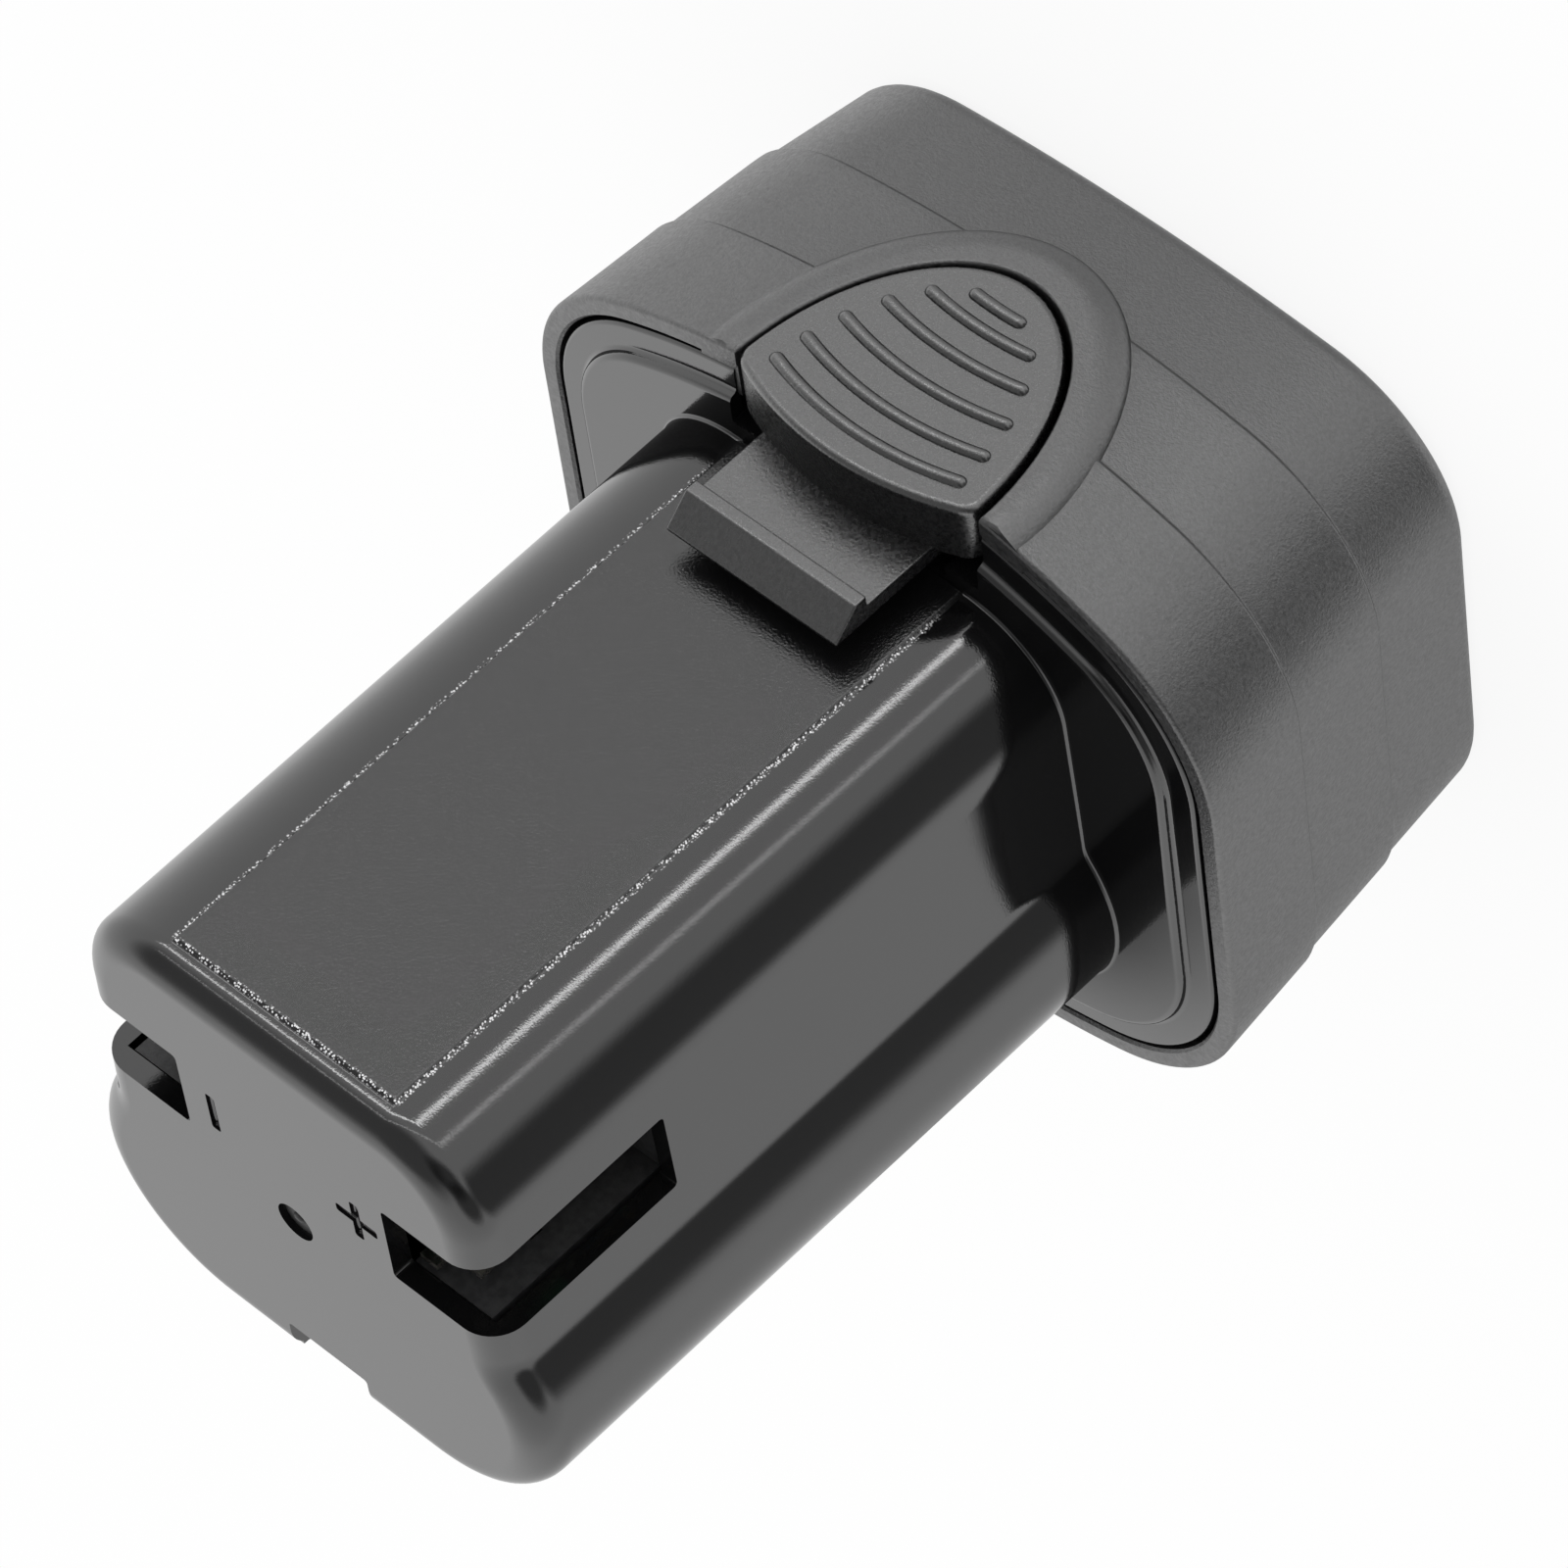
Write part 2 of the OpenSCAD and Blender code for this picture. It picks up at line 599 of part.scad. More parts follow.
module link_top() {
    turn = atan2(rear_row_y - front_row_y, rear_x);
    span = norm([rear_x, rear_row_y - front_row_y]);
    color([0.8, 0.8, 0.78]) translate([0, front_row_y, cell_top]) rotate([0, 0, turn])
        translate([-strip_w / 2, -strip_w / 2, 0]) cube([span + strip_w, strip_w, strip_t]);
}

module link_bottom() {
    tail_len = rear_row_y - lead_place[1] + 2;
    color([0.8, 0.8, 0.78]) translate([0, 0, strip_z]) linear_extrude(strip_t) union() {
        translate([-lead_place[0], rear_row_y - strip_w / 2])
            square([lead_place[0] + rear_x + strip_w / 2, strip_w]);
        translate([-lead_place[0], rear_row_y - tail_len]) square([strip_w / 2, tail_len]);
    }
}

module positive_tab() {
    color([0.8, 0.8, 0.78]) {
        translate([-riser_x, rear_row_y - strip_w / 2, cell_top])
            cube([riser_x - rear_x + strip_w / 2, strip_w, strip_t]);
        translate([-riser_x, rear_row_y - strip_w / 2, cell_top]) cube([strip_t, strip_w, board_z - cell_top]);
    }
}

module negative_tab() {
    color([0.8, 0.8, 0.78]) translate([-strip_w / 2, front_row_y - strip_w / 2, strip_z])
        cube([lead_place[0] + strip_w / 2, strip_w, strip_t]);
}

module top_insulator() {
    color([0.75, 0.85, 0.7]) translate([0, 0, cell_top + strip_t]) linear_extrude(paper_t) difference() {
        polygon(stem_outline(stem_wall + paper_inset));
        for (s = [-1, 1]) translate([s > 0 ? notch_x : -stem_w, -stem_w])
            square([stem_w - notch_x, stem_w + notch_near]);
        translate([-riser_x - 0.5, rear_row_y - strip_w / 2 - 0.5]) square([strip_t + 1, strip_w + 1]);
        translate(rear_board_post) circle(r = board_post_r + 2 * inner_clear);
    }
}

module bottom_insulator() {
    color([0.75, 0.85, 0.7]) translate([0, 0, paper_z]) linear_extrude(paper_t)
        polygon(stem_outline(2 * stem_wall));
}

module bottom_foam() {
    color([0.3, 0.3, 0.3]) translate([0, 0, foam_z]) linear_extrude(foam_t)
        polygon(stem_outline(2 * stem_wall));
}

module protection_board() {
    color([0.1, 0.4, 0.2]) translate([0, 0, board_z]) linear_extrude(board_t) difference() {
        polygon(stem_outline(board_inset));
        for (s = [-1, 1]) translate([s > 0 ? notch_x : -stem_w, notch_far])
            square([stem_w - notch_x, notch_near - notch_far]);
        for (p = board_screw_places) translate(p) circle(r = board_screw_r + 0.2);
    }
}

module on_board(x, y, w, d, h) {
    translate([x - w / 2, y - d / 2, board_top]) cube([w, d, h]);
}

module board_mosfets() {
    color([0.12, 0.12, 0.12]) for (s = [-1, 1]) on_board(s * mosfet_x, mosfet_y, mosfet_w, mosfet_d, mosfet_h);
}

module board_controller() {
    color([0.12, 0.12, 0.12]) on_board(0, -controller_y, controller_w, controller_w, controller_h);
}

module board_passives() {
    color([0.7, 0.6, 0.4]) for (s = [-1, 1]) for (k = [-1:1])
        on_board(s * passive_x, k * passive_pitch - passive_y, passive_w, passive_d, passive_h);
}

module shunt_resistor() {
    color([0.2, 0.2, 0.2]) on_board(0, -shunt_y, shunt_w, shunt_d, shunt_h);
}

// spring clip that stands on the upper holder, with a tab that lies on the board
module contact_clip() {
    half = contact_gap / 2;
    flare_z = contact_top - 2.5;
    translate([0, -slot_y, 0]) {
        for (leaf = [[contact_w, contact_top], [ear_w, ear_top]])
            rotate([90, 0, 90]) linear_extrude(leaf[0]) polygon([
                [-half - contact_t, upper_holder_top],
                [half + contact_t, upper_holder_top],
                [half + contact_t, flare_z],
                [half + contact_t + contact_flare, contact_top],
                [half + contact_t + contact_flare, leaf[1]],
                [half + contact_flare, leaf[1]],
                [half + contact_flare, contact_top],
                [half, flare_z],
                [half, upper_holder_top + contact_t],
                [-half, upper_holder_top + contact_t],
                [-half, flare_z],
                [-half - contact_flare, contact_top],
                [-half - contact_flare, leaf[1]],
                [-half - contact_t - contact_flare, leaf[1]],
                [-half - contact_t - contact_flare, contact_top],
                [-half - contact_t, flare_z]]);
        translate([contact_tab_x - contact_x, half, board_top])
            cube([contact_tab_w, slot_y + notch_near + contact_tab_reach - half, contact_t]);
    }
}

module positive_contact() {
    color([0.85, 0.7, 0.35]) mirror([1, 0, 0]) translate([contact_x, 0, 0]) contact_clip();
}

module negative_contact() {
    color([0.85, 0.7, 0.35]) translate([contact_x, 0, 0]) contact_clip();
}

module lead() {
    translate([lead_place[0], lead_place[1], 0])
        loft_off_centre([for (s = lead_steps) [s[0], [s[1], s[2]]]]);
}

// tube of level rings that follow a list of heights and middles
module loft_off_centre(stations) {
    n = 10;
    m = len(stations);
    points = [for (s = stations) for (p = ring(s[1][0], s[1][1], lead_r, n)) [p[0], p[1], s[0]]];
    sides = [for (j = [0:m - 2]) for (i = [0:n - 1]) let (k = (i + 1) % n)
        each [[j * n + i, (j + 1) * n + i, (j + 1) * n + k], [j * n + i, (j + 1) * n + k, j * n + k]]];
    ends = [[for (i = [0:n - 1]) i], [for (i = [n - 1:-1:0]) (m - 1) * n + i]];
    polyhedron(points = points, faces = concat(sides, ends));
}

module negative_lead() {
    color([0.1, 0.1, 0.1]) lead();
}

module sense_lead() {
    color([0.9, 0.75, 0.1]) mirror([1, 0, 0]) lead();
}

module board_screws() {
    color([0.7, 0.7, 0.72]) for (p = board_screw_places) translate([p[0], p[1], 0]) {
        translate([0, 0, board_top]) cylinder(r = board_head_r, h = board_head_h);
        translate([0, 0, board_z - board_screw_len + 0.5])
            cylinder(r = board_screw_r, h = board_screw_len - 0.5 + board_t + board_head_h / 2);
    }
}

module base_screws() {
    color([0.7, 0.7, 0.72]) for (p = base_screw_places) translate([p[0], p[1], 0]) {
        translate([0, 0, head_seat_z - head_h]) cylinder(r = base_head_r, h = head_h);
        translate([0, 0, head_seat_z - head_h / 2]) cylinder(r = base_screw_r, h = base_screw_len + head_h / 2);
    }
}

base_cup();
stem_housing();
latch_button();
latch_spring();
cell_front();
cell_rear_plus();
cell_rear_minus();
cell_rings();
lower_holder();
upper_holder();
link_top();
link_bottom();
positive_tab();
negative_tab();
top_insulator();
bottom_insulator();
bottom_foam();
protection_board();
board_mosfets();
board_controller();
board_passives();
shunt_resistor();
positive_contact();
negative_contact();
negative_lead();
sense_lead();
board_screws();
base_screws();
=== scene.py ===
import math

import bmesh
import bpy
from mathutils import Matrix, Vector


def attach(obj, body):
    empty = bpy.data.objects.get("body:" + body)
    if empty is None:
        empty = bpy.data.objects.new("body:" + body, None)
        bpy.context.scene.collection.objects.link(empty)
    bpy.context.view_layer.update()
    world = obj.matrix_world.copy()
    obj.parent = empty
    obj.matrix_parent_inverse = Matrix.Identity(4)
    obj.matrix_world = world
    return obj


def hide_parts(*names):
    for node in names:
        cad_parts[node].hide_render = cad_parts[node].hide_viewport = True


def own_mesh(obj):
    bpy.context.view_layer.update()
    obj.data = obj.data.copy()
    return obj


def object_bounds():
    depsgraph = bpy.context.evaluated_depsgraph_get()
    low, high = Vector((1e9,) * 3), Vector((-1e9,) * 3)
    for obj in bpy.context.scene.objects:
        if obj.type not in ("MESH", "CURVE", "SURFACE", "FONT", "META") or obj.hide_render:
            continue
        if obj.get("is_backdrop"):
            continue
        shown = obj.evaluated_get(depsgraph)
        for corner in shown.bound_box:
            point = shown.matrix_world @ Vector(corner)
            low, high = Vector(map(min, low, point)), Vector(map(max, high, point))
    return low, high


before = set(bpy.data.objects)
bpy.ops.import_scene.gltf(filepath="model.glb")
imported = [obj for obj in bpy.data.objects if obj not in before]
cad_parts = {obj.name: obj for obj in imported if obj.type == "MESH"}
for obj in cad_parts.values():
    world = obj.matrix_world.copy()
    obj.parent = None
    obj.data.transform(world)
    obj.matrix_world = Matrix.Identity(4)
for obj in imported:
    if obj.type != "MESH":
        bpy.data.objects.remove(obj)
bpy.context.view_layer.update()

mm = 0.001  # meshes are shaped in millimetres and scaled once at the end
alongX, alongY, alongZ = (1, 0, 0), (0, 1, 0), (0, 0, 1)
print("frame loaded:", len(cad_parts), "nodes")


# camera, fitted to the photo's straight edges
cameraView = {
    "place": (-317.9, -537.4, 297.8),
    "right": (-0.72143793, 0.09477702, -0.68596255),
    "down": (-0.50876202, 0.59946754, 0.61789956),
    "forward": (0.46977497, 0.79476788, -0.38425968),
    "lens": 237.4,
    "sensor": 36.0,
    "clip": (0.01, 50),
}


def placeCamera(view):
    camera = bpy.data.objects.new("camera", bpy.data.cameras.new("camera"))
    bpy.context.scene.collection.objects.link(camera)
    camera.data.lens = view["lens"]
    camera.data.sensor_width = view["sensor"]
    camera.data.clip_start, camera.data.clip_end = view["clip"]
    turn = Matrix((view["right"], -Vector(view["down"]), -Vector(view["forward"]))).transposed()
    camera.matrix_world = Matrix.Translation(Vector(view["place"]) * mm) @ turn.to_4x4()
    bpy.context.scene.camera = camera


placeCamera(cameraView)


# shaping, in millimetres
shaping = {
    "weld": 1e-5,    # vertices closer than this are one
    "slack": 0.01,   # places closer than this count as the same
    "over": 1.0,     # how far a cut or a join reaches past a face
    "sharp": 32,     # degrees between faces from which an edge stays sharp
}


def clamp(share):
    return min(1, max(0, share))


def ease(share):
    share = clamp(share)
    return share * share * (3 - 2 * share)


# sines and cosines over a quarter turn
def quarter(steps):
    return [(math.sin(math.pi / 2 * i / steps), math.cos(math.pi / 2 * i / steps)) for i in range(steps + 1)]


def vertsOf(geom):
    return [g for g in geom if isinstance(g, bmesh.types.BMVert)]


def edgesOf(geom):
    return [g for g in geom if isinstance(g, bmesh.types.BMEdge)]


# outlines: a vertex is swung round arc centres and run along straights
def swing(bm, vert, centre, degrees, steps, axis=alongZ):
    made = bmesh.ops.spin(bm, geom=[vert], cent=centre, axis=axis, angle=math.radians(degrees), steps=steps)
    return vertsOf(made["geom_last"])[0]


def runOn(bm, vert, step):
    vert = bmesh.ops.extrude_vert_indiv(bm, verts=[vert])["verts"][0]
    vert.co += Vector(step)
    return vert


# a move of one value is a straight, any other is an arc
def traceLoop(bm, start, moves):
    known = set(bm.edges)
    first = bm.verts.new(start)
    vert = first
    for move in moves:
        vert = swing(bm, vert, *move) if len(move) > 1 else runOn(bm, vert, move[0])
    bmesh.ops.weld_verts(bm, targetmap={vert: first})
    return [e for e in bm.edges if e not in known]


def bridgeAll(bm, loops):
    for lower, upper in zip(loops, loops[1:]):
        bmesh.ops.bridge_loops(bm, edges=lower + upper)


def capLoop(bm, loop):
    bmesh.ops.contextual_create(bm, geom=loop)


# skin over loops, capped at both ends
def loft(bm, loops):
    bridgeAll(bm, loops)
    capLoop(bm, loops[0])
    capLoop(bm, loops[-1])


def shift(bm, x=0, y=0, z=0):
    bmesh.ops.translate(bm, verts=bm.verts, vec=(x, y, z))


def roundEdges(bm, edges, radius, segments):
    bmesh.ops.bevel(bm, geom=edges, offset=radius, offset_type="OFFSET", segments=segments, profile=0.5,
                    affect="EDGES", material=-1)


def closeSolid(bm):
    bmesh.ops.remove_doubles(bm, verts=bm.verts, dist=shaping["weld"])
    bmesh.ops.recalc_face_normals(bm, faces=bm.faces)
    return bm


# object of a bmesh, which is used up
def placeMesh(name, bm):
    mesh = bpy.data.meshes.new(name)
    bm.to_mesh(mesh)
    bm.free()
    placed = bpy.data.objects.new(name, mesh)
    bpy.context.scene.collection.objects.link(placed)
    return placed


# union or difference of two closed bmeshes, which are used up
def combine(bm, other, operation):
    body, tool = placeMesh("step", bm), placeMesh("step", other)
    cut = body.modifiers.new("cut", "BOOLEAN")
    cut.solver = "EXACT"
    cut.operation = operation
    cut.object = tool
    bpy.context.view_layer.update()
    solved = bpy.data.meshes.new_from_object(body.evaluated_get(bpy.context.evaluated_depsgraph_get()))
    result = bmesh.new()
    result.from_mesh(solved)
    bmesh.ops.remove_doubles(result, verts=result.verts, dist=shaping["weld"])
    for used in (body, tool):
        mesh = used.data
        bpy.data.objects.remove(used)
        bpy.data.meshes.remove(mesh)
    bpy.data.meshes.remove(solved)
    return result


def addBox(bm, low, high, soften=0):
    made = bmesh.ops.create_cube(bm, size=1)["verts"]
    bmesh.ops.scale(bm, verts=made, vec=[b - a for a, b in zip(low, high)])
    bmesh.ops.translate(bm, verts=made, vec=[(a + b) / 2 for a, b in zip(low, high)])
    if soften:
        roundEdges(bm, list({e for v in made for e in v.link_edges}), soften, segments=3)


# drum that starts at its place and runs along its axis
def addDrum(bm, place, axis, radius, length, sides=48):
    turn = Vector(alongZ).rotation_difference(Vector(axis)).to_matrix().to_4x4()
    middle = Matrix.Translation(Vector(place) + Vector(axis) * length / 2)
    bmesh.ops.create_cone(bm, cap_ends=True, segments=sides, radius1=radius, radius2=radius, depth=length,
                          matrix=middle @ turn)


def finishPiece(name, bm, body, material, replaced):
    bmesh.ops.remove_doubles(bm, verts=bm.verts, dist=shaping["weld"])
    bmesh.ops.scale(bm, verts=bm.verts, vec=(mm, mm, mm))
    for face in bm.faces:
        face.smooth = True
    for edge in bm.edges:
        edge.smooth = edge.calc_face_angle(0) < math.radians(shaping["sharp"])
    piece = placeMesh(name, bm)
    piece.data.materials.append(material)
    even = piece.modifiers.new("even", "WEIGHTED_NORMAL")
    even.keep_sharp = True
    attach(piece, body)
    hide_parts(*replaced)
    print("made", name, len(piece.data.polygons), "faces")
    return piece


# materials: a socket is fed by another node's output or by a plain value
def feed(socket, value):
    if isinstance(value, bpy.types.NodeSocket):
        socket.id_data.links.new(value, socket)
    else:
        socket.default_value = value


# feeds go to the first sockets in turn, and values to named sockets and settings
def addNode(tree, kind, *feeds, **values):
    node = tree.nodes.new(kind)
    for key, value in values.items():
        if key in node.inputs:
            feed(node.inputs[key], value)
        else:
            setattr(node, key, value)
    for socket, value in zip(node.inputs, feeds):
        feed(socket, value)
    return node


def addMath(tree, operation, *feeds, **values):
    return addNode(tree, "ShaderNodeMath", *feeds, operation=operation, **values).outputs["Value"]


def product(tree, first, *others):
    for other in others:
        first = addMath(tree, "MULTIPLY", first, other)
    return first


def addSpan(tree, value, start, end, low=0.0, high=1.0, kind="LINEAR"):
    span = addNode(tree, "ShaderNodeMapRange", value, start, end, low, high, interpolation_type=kind)
    return span.outputs["Result"]


def addMix(tree, kind, share, first, second):
    mix = addNode(tree, "ShaderNodeMix", share, data_type=kind)
    sockets = {"FLOAT": (2, 3, 0), "RGBA": (6, 7, 2)}  # the node keeps its own set for each kind
    firstEntry, secondEntry, result = sockets[kind]
    feed(mix.inputs[firstEntry], first)
    feed(mix.inputs[secondEntry], second)
    return mix.outputs[result]


def objectPlace(tree):
    return addNode(tree, "ShaderNodeTexCoord").outputs["Object"]


def addNoise(tree, scale, detail, **values):
    where = objectPlace(tree)
    noise = addNode(tree, "ShaderNodeTexNoise", Vector=where, Scale=scale, Detail=detail, **values)
    return noise.outputs["Fac"]


def addBump(tree, height, strength, depth, below=None):
    bump = addNode(tree, "ShaderNodeBump", Height=height, Strength=strength, Distance=depth * mm)
    if below is not None:
        feed(bump.inputs["Normal"], below)
    return bump.outputs["Normal"]


def newMaterial(name, **shader):
    material = bpy.data.materials.new(name)
    material.use_nodes = True
    surface = material.node_tree.nodes["Principled BSDF"]
    for key, value in shader.items():
        surface.inputs[key].default_value = value
    return material, surface


def showShader(tree, shader):
    feed(tree.nodes["Material Output"].inputs["Surface"], shader)


# noise in all grained finishes: a fine bump, a tint between two colours and a mottled roughness
graining = {
    "bumpDetail": 2.0, "bumpRough": 0.6,
    "tintDetail": 5.0, "tintSpan": (0.35, 0.65), "tintScale": 0.8,  # both scales are shares of the grain's
    "mottleDetail": 4.0, "mottleSpan": (0.3, 0.7), "mottleScale": 0.6, "mottleRough": 0.07,
}


def grainBump(tree, surface, scale, strength, depth):
    grain = addNoise(tree, scale, graining["bumpDetail"], Roughness=graining["bumpRough"])
    feed(surface.inputs["Normal"], addBump(tree, grain, strength, depth))


def tint(tree, scale, dark, light):
    ramp = addNode(tree, "ShaderNodeValToRGB", addNoise(tree, scale, graining["tintDetail"]))
    for stop, place, color in zip(ramp.color_ramp.elements, graining["tintSpan"], (dark, light)):
        stop.position = place
        stop.color = (*color, 1)
    return ramp.outputs["Color"]


def mottle(tree, scale, low, high):
    return addSpan(tree, addNoise(tree, scale, graining["mottleDetail"]), *graining["mottleSpan"], low, high)


# the depth of the grain is in millimetres
def grainy(name, dark, light, rough, grain, depth, **shader):
    material, surface = newMaterial(name, **shader)
    tree, spread = material.node_tree, graining["mottleRough"]
    grainBump(tree, surface, grain, 1.0, depth)
    feed(surface.inputs["Base Color"], tint(tree, grain * graining["tintScale"], dark, light))
    mottled = mottle(tree, grain * graining["mottleScale"], rough - spread, rough + spread)
    feed(surface.inputs["Roughness"], mottled)
    return material


cupPlastic = grainy("cupPlastic", dark=(0.004, 0.004, 0.0042), light=(0.026, 0.026, 0.0268), rough=0.40,
                    grain=4800, depth=0.04, IOR=2.0)
latchPlastic = grainy("latchPlastic", dark=(0.002, 0.002, 0.0021), light=(0.009, 0.009, 0.0094), rough=0.27,
                      grain=4800, depth=0.02, IOR=2.1)
zincSteel = grainy("zincSteel", dark=(0.50, 0.50, 0.51), light=(0.66, 0.66, 0.68), rough=0.32,
                   grain=1500, depth=0.02, Metallic=1.0)
print("grained finishes ready")


# base cup: stepped, drafted wall over a rounded end, with a flat rim
cup = {
    "height": 28.0, "width": 60.5, "front": 28.2, "back": 27.15, "frontR": 52.0, "backR": 66.5,
    "frontCornerR": 15.0, "backCornerR": 16.0, "arcSteps": 24, "backSteps": 40,
    "frontFlat": 2.0, "frontFlatR": 110.0, "bandHeight": 8.9, "bandStep": 0.28, "stepRise": 0.45,
    "stepRows": (-2, 0, 0.2, 0.4, 0.6, 0.8, 1, 3),  # shares of the rise, from the lower band to the upper
    "draft": 0.095, "endRound": 1.5, "wall": 1.65, "floor": 2.2, "rimRound": 0.4, "rimInnerRound": 0.2,
    "endSteps": 8, "rimSteps": 5, "rimInnerSteps": 3, "seatDepth": 4.0,
    "posts": ((20.3, -14.6), (-20.3, -14.6), (20.2, 15.0), (-20.2, 15.0)),
    "postR": 3.25, "postTop": 8.5, "headR": 2.4, "headSeat": 6.0, "screwR": 1.65,
}


# outline at an inset and height: the front is flatter towards the end
def cupLoop(bm, inset, z, level=None):
    level = z if level is None else level
    flat = (max(0, cup["height"] - level) / cup["height"]) ** 2
    radius = cup["frontR"] + cup["frontFlatR"] * flat
    frontMid = radius - cup["front"] + cup["frontFlat"] * flat
    backMid = cup["back"] - cup["backR"]
    frontX = cup["width"] / 2 - cup["frontCornerR"]
    frontY = frontMid - math.sqrt((radius - cup["frontCornerR"]) ** 2 - frontX ** 2)
    backX = cup["width"] / 2 - cup["backCornerR"]
    backY = backMid + math.sqrt((cup["backR"] - cup["backCornerR"]) ** 2 - backX ** 2)
    frontTurn = 90 + math.degrees(math.atan2(frontY - frontMid, frontX))
    backTurn = 90 - math.degrees(math.atan2(backY - backMid, backX))
    steps, halfSide = cup["arcSteps"], (backY - frontY) / 2
    moves = [((0, frontMid, z), frontTurn, steps), ((frontX, frontY, z), 90 - frontTurn, steps)]
    moves += [((0, halfSide, 0),)] * 2
    moves += [((backX, backY, z), 90 - backTurn, steps), ((0, backMid, z), 2 * backTurn, cup["backSteps"]),
              ((-backX, backY, z), 90 - backTurn, steps)]
    moves += [((0, -halfSide, 0),)] * 2
    moves += [((-frontX, frontY, z), 90 - frontTurn, steps), ((0, frontMid, z), frontTurn, steps)]
    return traceLoop(bm, (0, frontMid - radius + inset, z), moves)


def wallInset(z):
    below = cup["height"] - z
    return cup["draft"] * below + cup["bandStep"] * sum(below > cup["bandHeight"] * n for n in (1, 2))


def cupShell():
    bm = bmesh.new()
    top, draft, rise, wall = cup["height"], cup["draft"], cup["stepRise"], cup["wall"]
    endInset, endR = wallInset(0), cup["endRound"]
    loops = [cupLoop(bm, endInset - draft * endR + endR * (1 - s), endR * (1 - c))
             for s, c in quarter(cup["endSteps"])]
    for step in (2, 1):
        z = top - cup["bandHeight"] * step
        bandInset = draft * (top - z) + cup["bandStep"] * step  # of the lower band, at the step
        for share in cup["stepRows"]:
            level = z + rise * (share - 1)
            loops.append(cupLoop(bm, bandInset + draft * (z - level) - cup["bandStep"] * ease(share), level))
    rimR, lipR = cup["rimRound"], cup["rimInnerRound"]
    loops += [cupLoop(bm, draft * rimR * c + rimR * (1 - c), top - rimR + rimR * s)
              for s, c in quarter(cup["rimSteps"])]
    loops += [cupLoop(bm, wall - lipR * c, top - lipR + lipR * c) for _, c in quarter(cup["rimInnerSteps"])]
    loops.append(cupLoop(bm, wall, top - cup["seatDepth"], top))
    for step in (1, 2):
        z = top - cup["bandHeight"] * step
        loops.append(cupLoop(bm, wallInset(z - rise) + wall, z))
    floor = cup["floor"]
    loops.append(cupLoop(bm, endInset + wall, floor + endR, floor))
    loops.append(cupLoop(bm, endInset + wall + endR, floor))
    loft(bm, loops)
    return closeSolid(bm)


# half ellipse hung from a height, seen from the front: its first and last vertices
def hangArc(bm, half, depth, y, top, steps=48):
    known = set(bm.verts)
    first = bm.verts.new((-half, y, top))
    last = swing(bm, first, (0, y, top), -180, steps, alongY)
    fresh = [v for v in bm.verts if v not in known]
    bmesh.ops.scale(bm, verts=fresh, vec=(1, 1, depth / half), space=Matrix.Translation((0, -y, -top)))
    return first, last


# half ellipse closed by a straight top, or by one raised on two sides
def archLoop(bm, half, depth, y, drop, rise=0.0):
    known = set(bm.edges)
    first, last = hangArc(bm, half, depth, y, cup["height"] - drop)
    if rise:
        last = runOn(bm, runOn(bm, last, (0, 0, rise)), (-2 * half, 0, 0))
    bm.edges.new((last, first))
    return [e for e in bm.edges if e not in known]


# collar round the button, with the well that the button sits in
collar = {
    "openHalf": 10.7, "openDepth": 16.7, "width": 3.4, "taper": 1.2, "crest": -27.1, "drop": 0.12,
    "slope": 0.03, "endRound": 0.5, "sideways": -0.6, "shoulder": 3.0, "shoulderDrop": 1.7, "root": -22.6,
    "shoulderSteps": 12, "lip": 0.3, "lipSteps": 4, "wellBack": -20.0, "wellFront": -31.0, "wellRise": 2.0,
    "frameBack": -23.9, "frameFront": -25.8, "frameDrop": 0.3, "frameWall": 1.2,
}


# the crest falls away towards the end of the cup
def leanBack(bm, behind):
    for v in bm.verts:
        if v.co.y < behind - shaping["slack"]:
            v.co.y += collar["slope"] * (cup["height"] - v.co.z)


def collarSolid():
    bm = bmesh.new()
    half = collar["openHalf"] + collar["width"]
    depth = collar["openDepth"] + collar["taper"] * collar["width"]
    rows = [(0, collar["root"])]
    for s, c in quarter(collar["shoulderSteps"]):
        rows.append((collar["shoulder"] * (1 - c), collar["crest"] + collar["shoulderDrop"] * (1 - s)))
    ends = collar["endRound"]
    loops = []
    for inset, y in rows:
        near = clamp(1 - (y - collar["crest"]) / ends)  # the ends at the rim are rounded off
        drop = collar["drop"] + ends * (1 - math.sqrt(1 - near ** 2))
        loops.append(archLoop(bm, half - inset, depth - inset, y, drop))
    loft(bm, loops)
    leanBack(bm, collar["root"])
    shift(bm, x=collar["sideways"])
    return closeSolid(bm)


def padWell():
    bm = bmesh.new()
    lip, crest, back = collar["lip"], collar["crest"], collar["wellBack"]
    rows = [(0, back)]
    rows += [(lip * (1 - c), crest + lip - lip * s) for s, c in quarter(collar["lipSteps"])]
    rows.append((lip, collar["wellFront"]))
    half, depth, rise = collar["openHalf"], collar["openDepth"], collar["wellRise"]
    loft(bm, [archLoop(bm, half + grow, depth + grow, y, 0, rise) for grow, y in rows])
    leanBack(bm, back)
    shift(bm, x=collar["sideways"])
    return closeSolid(bm)


def wellFrame():
    bm = bmesh.new()
    half, depth = collar["openHalf"] + collar["frameWall"], collar["openDepth"] + collar["frameWall"]
    loft(bm, [archLoop(bm, half, depth, collar[end], collar["frameDrop"])
              for end in ("frameBack", "frameFront")])
    shift(bm, x=collar["sideways"])
    return closeSolid(bm)


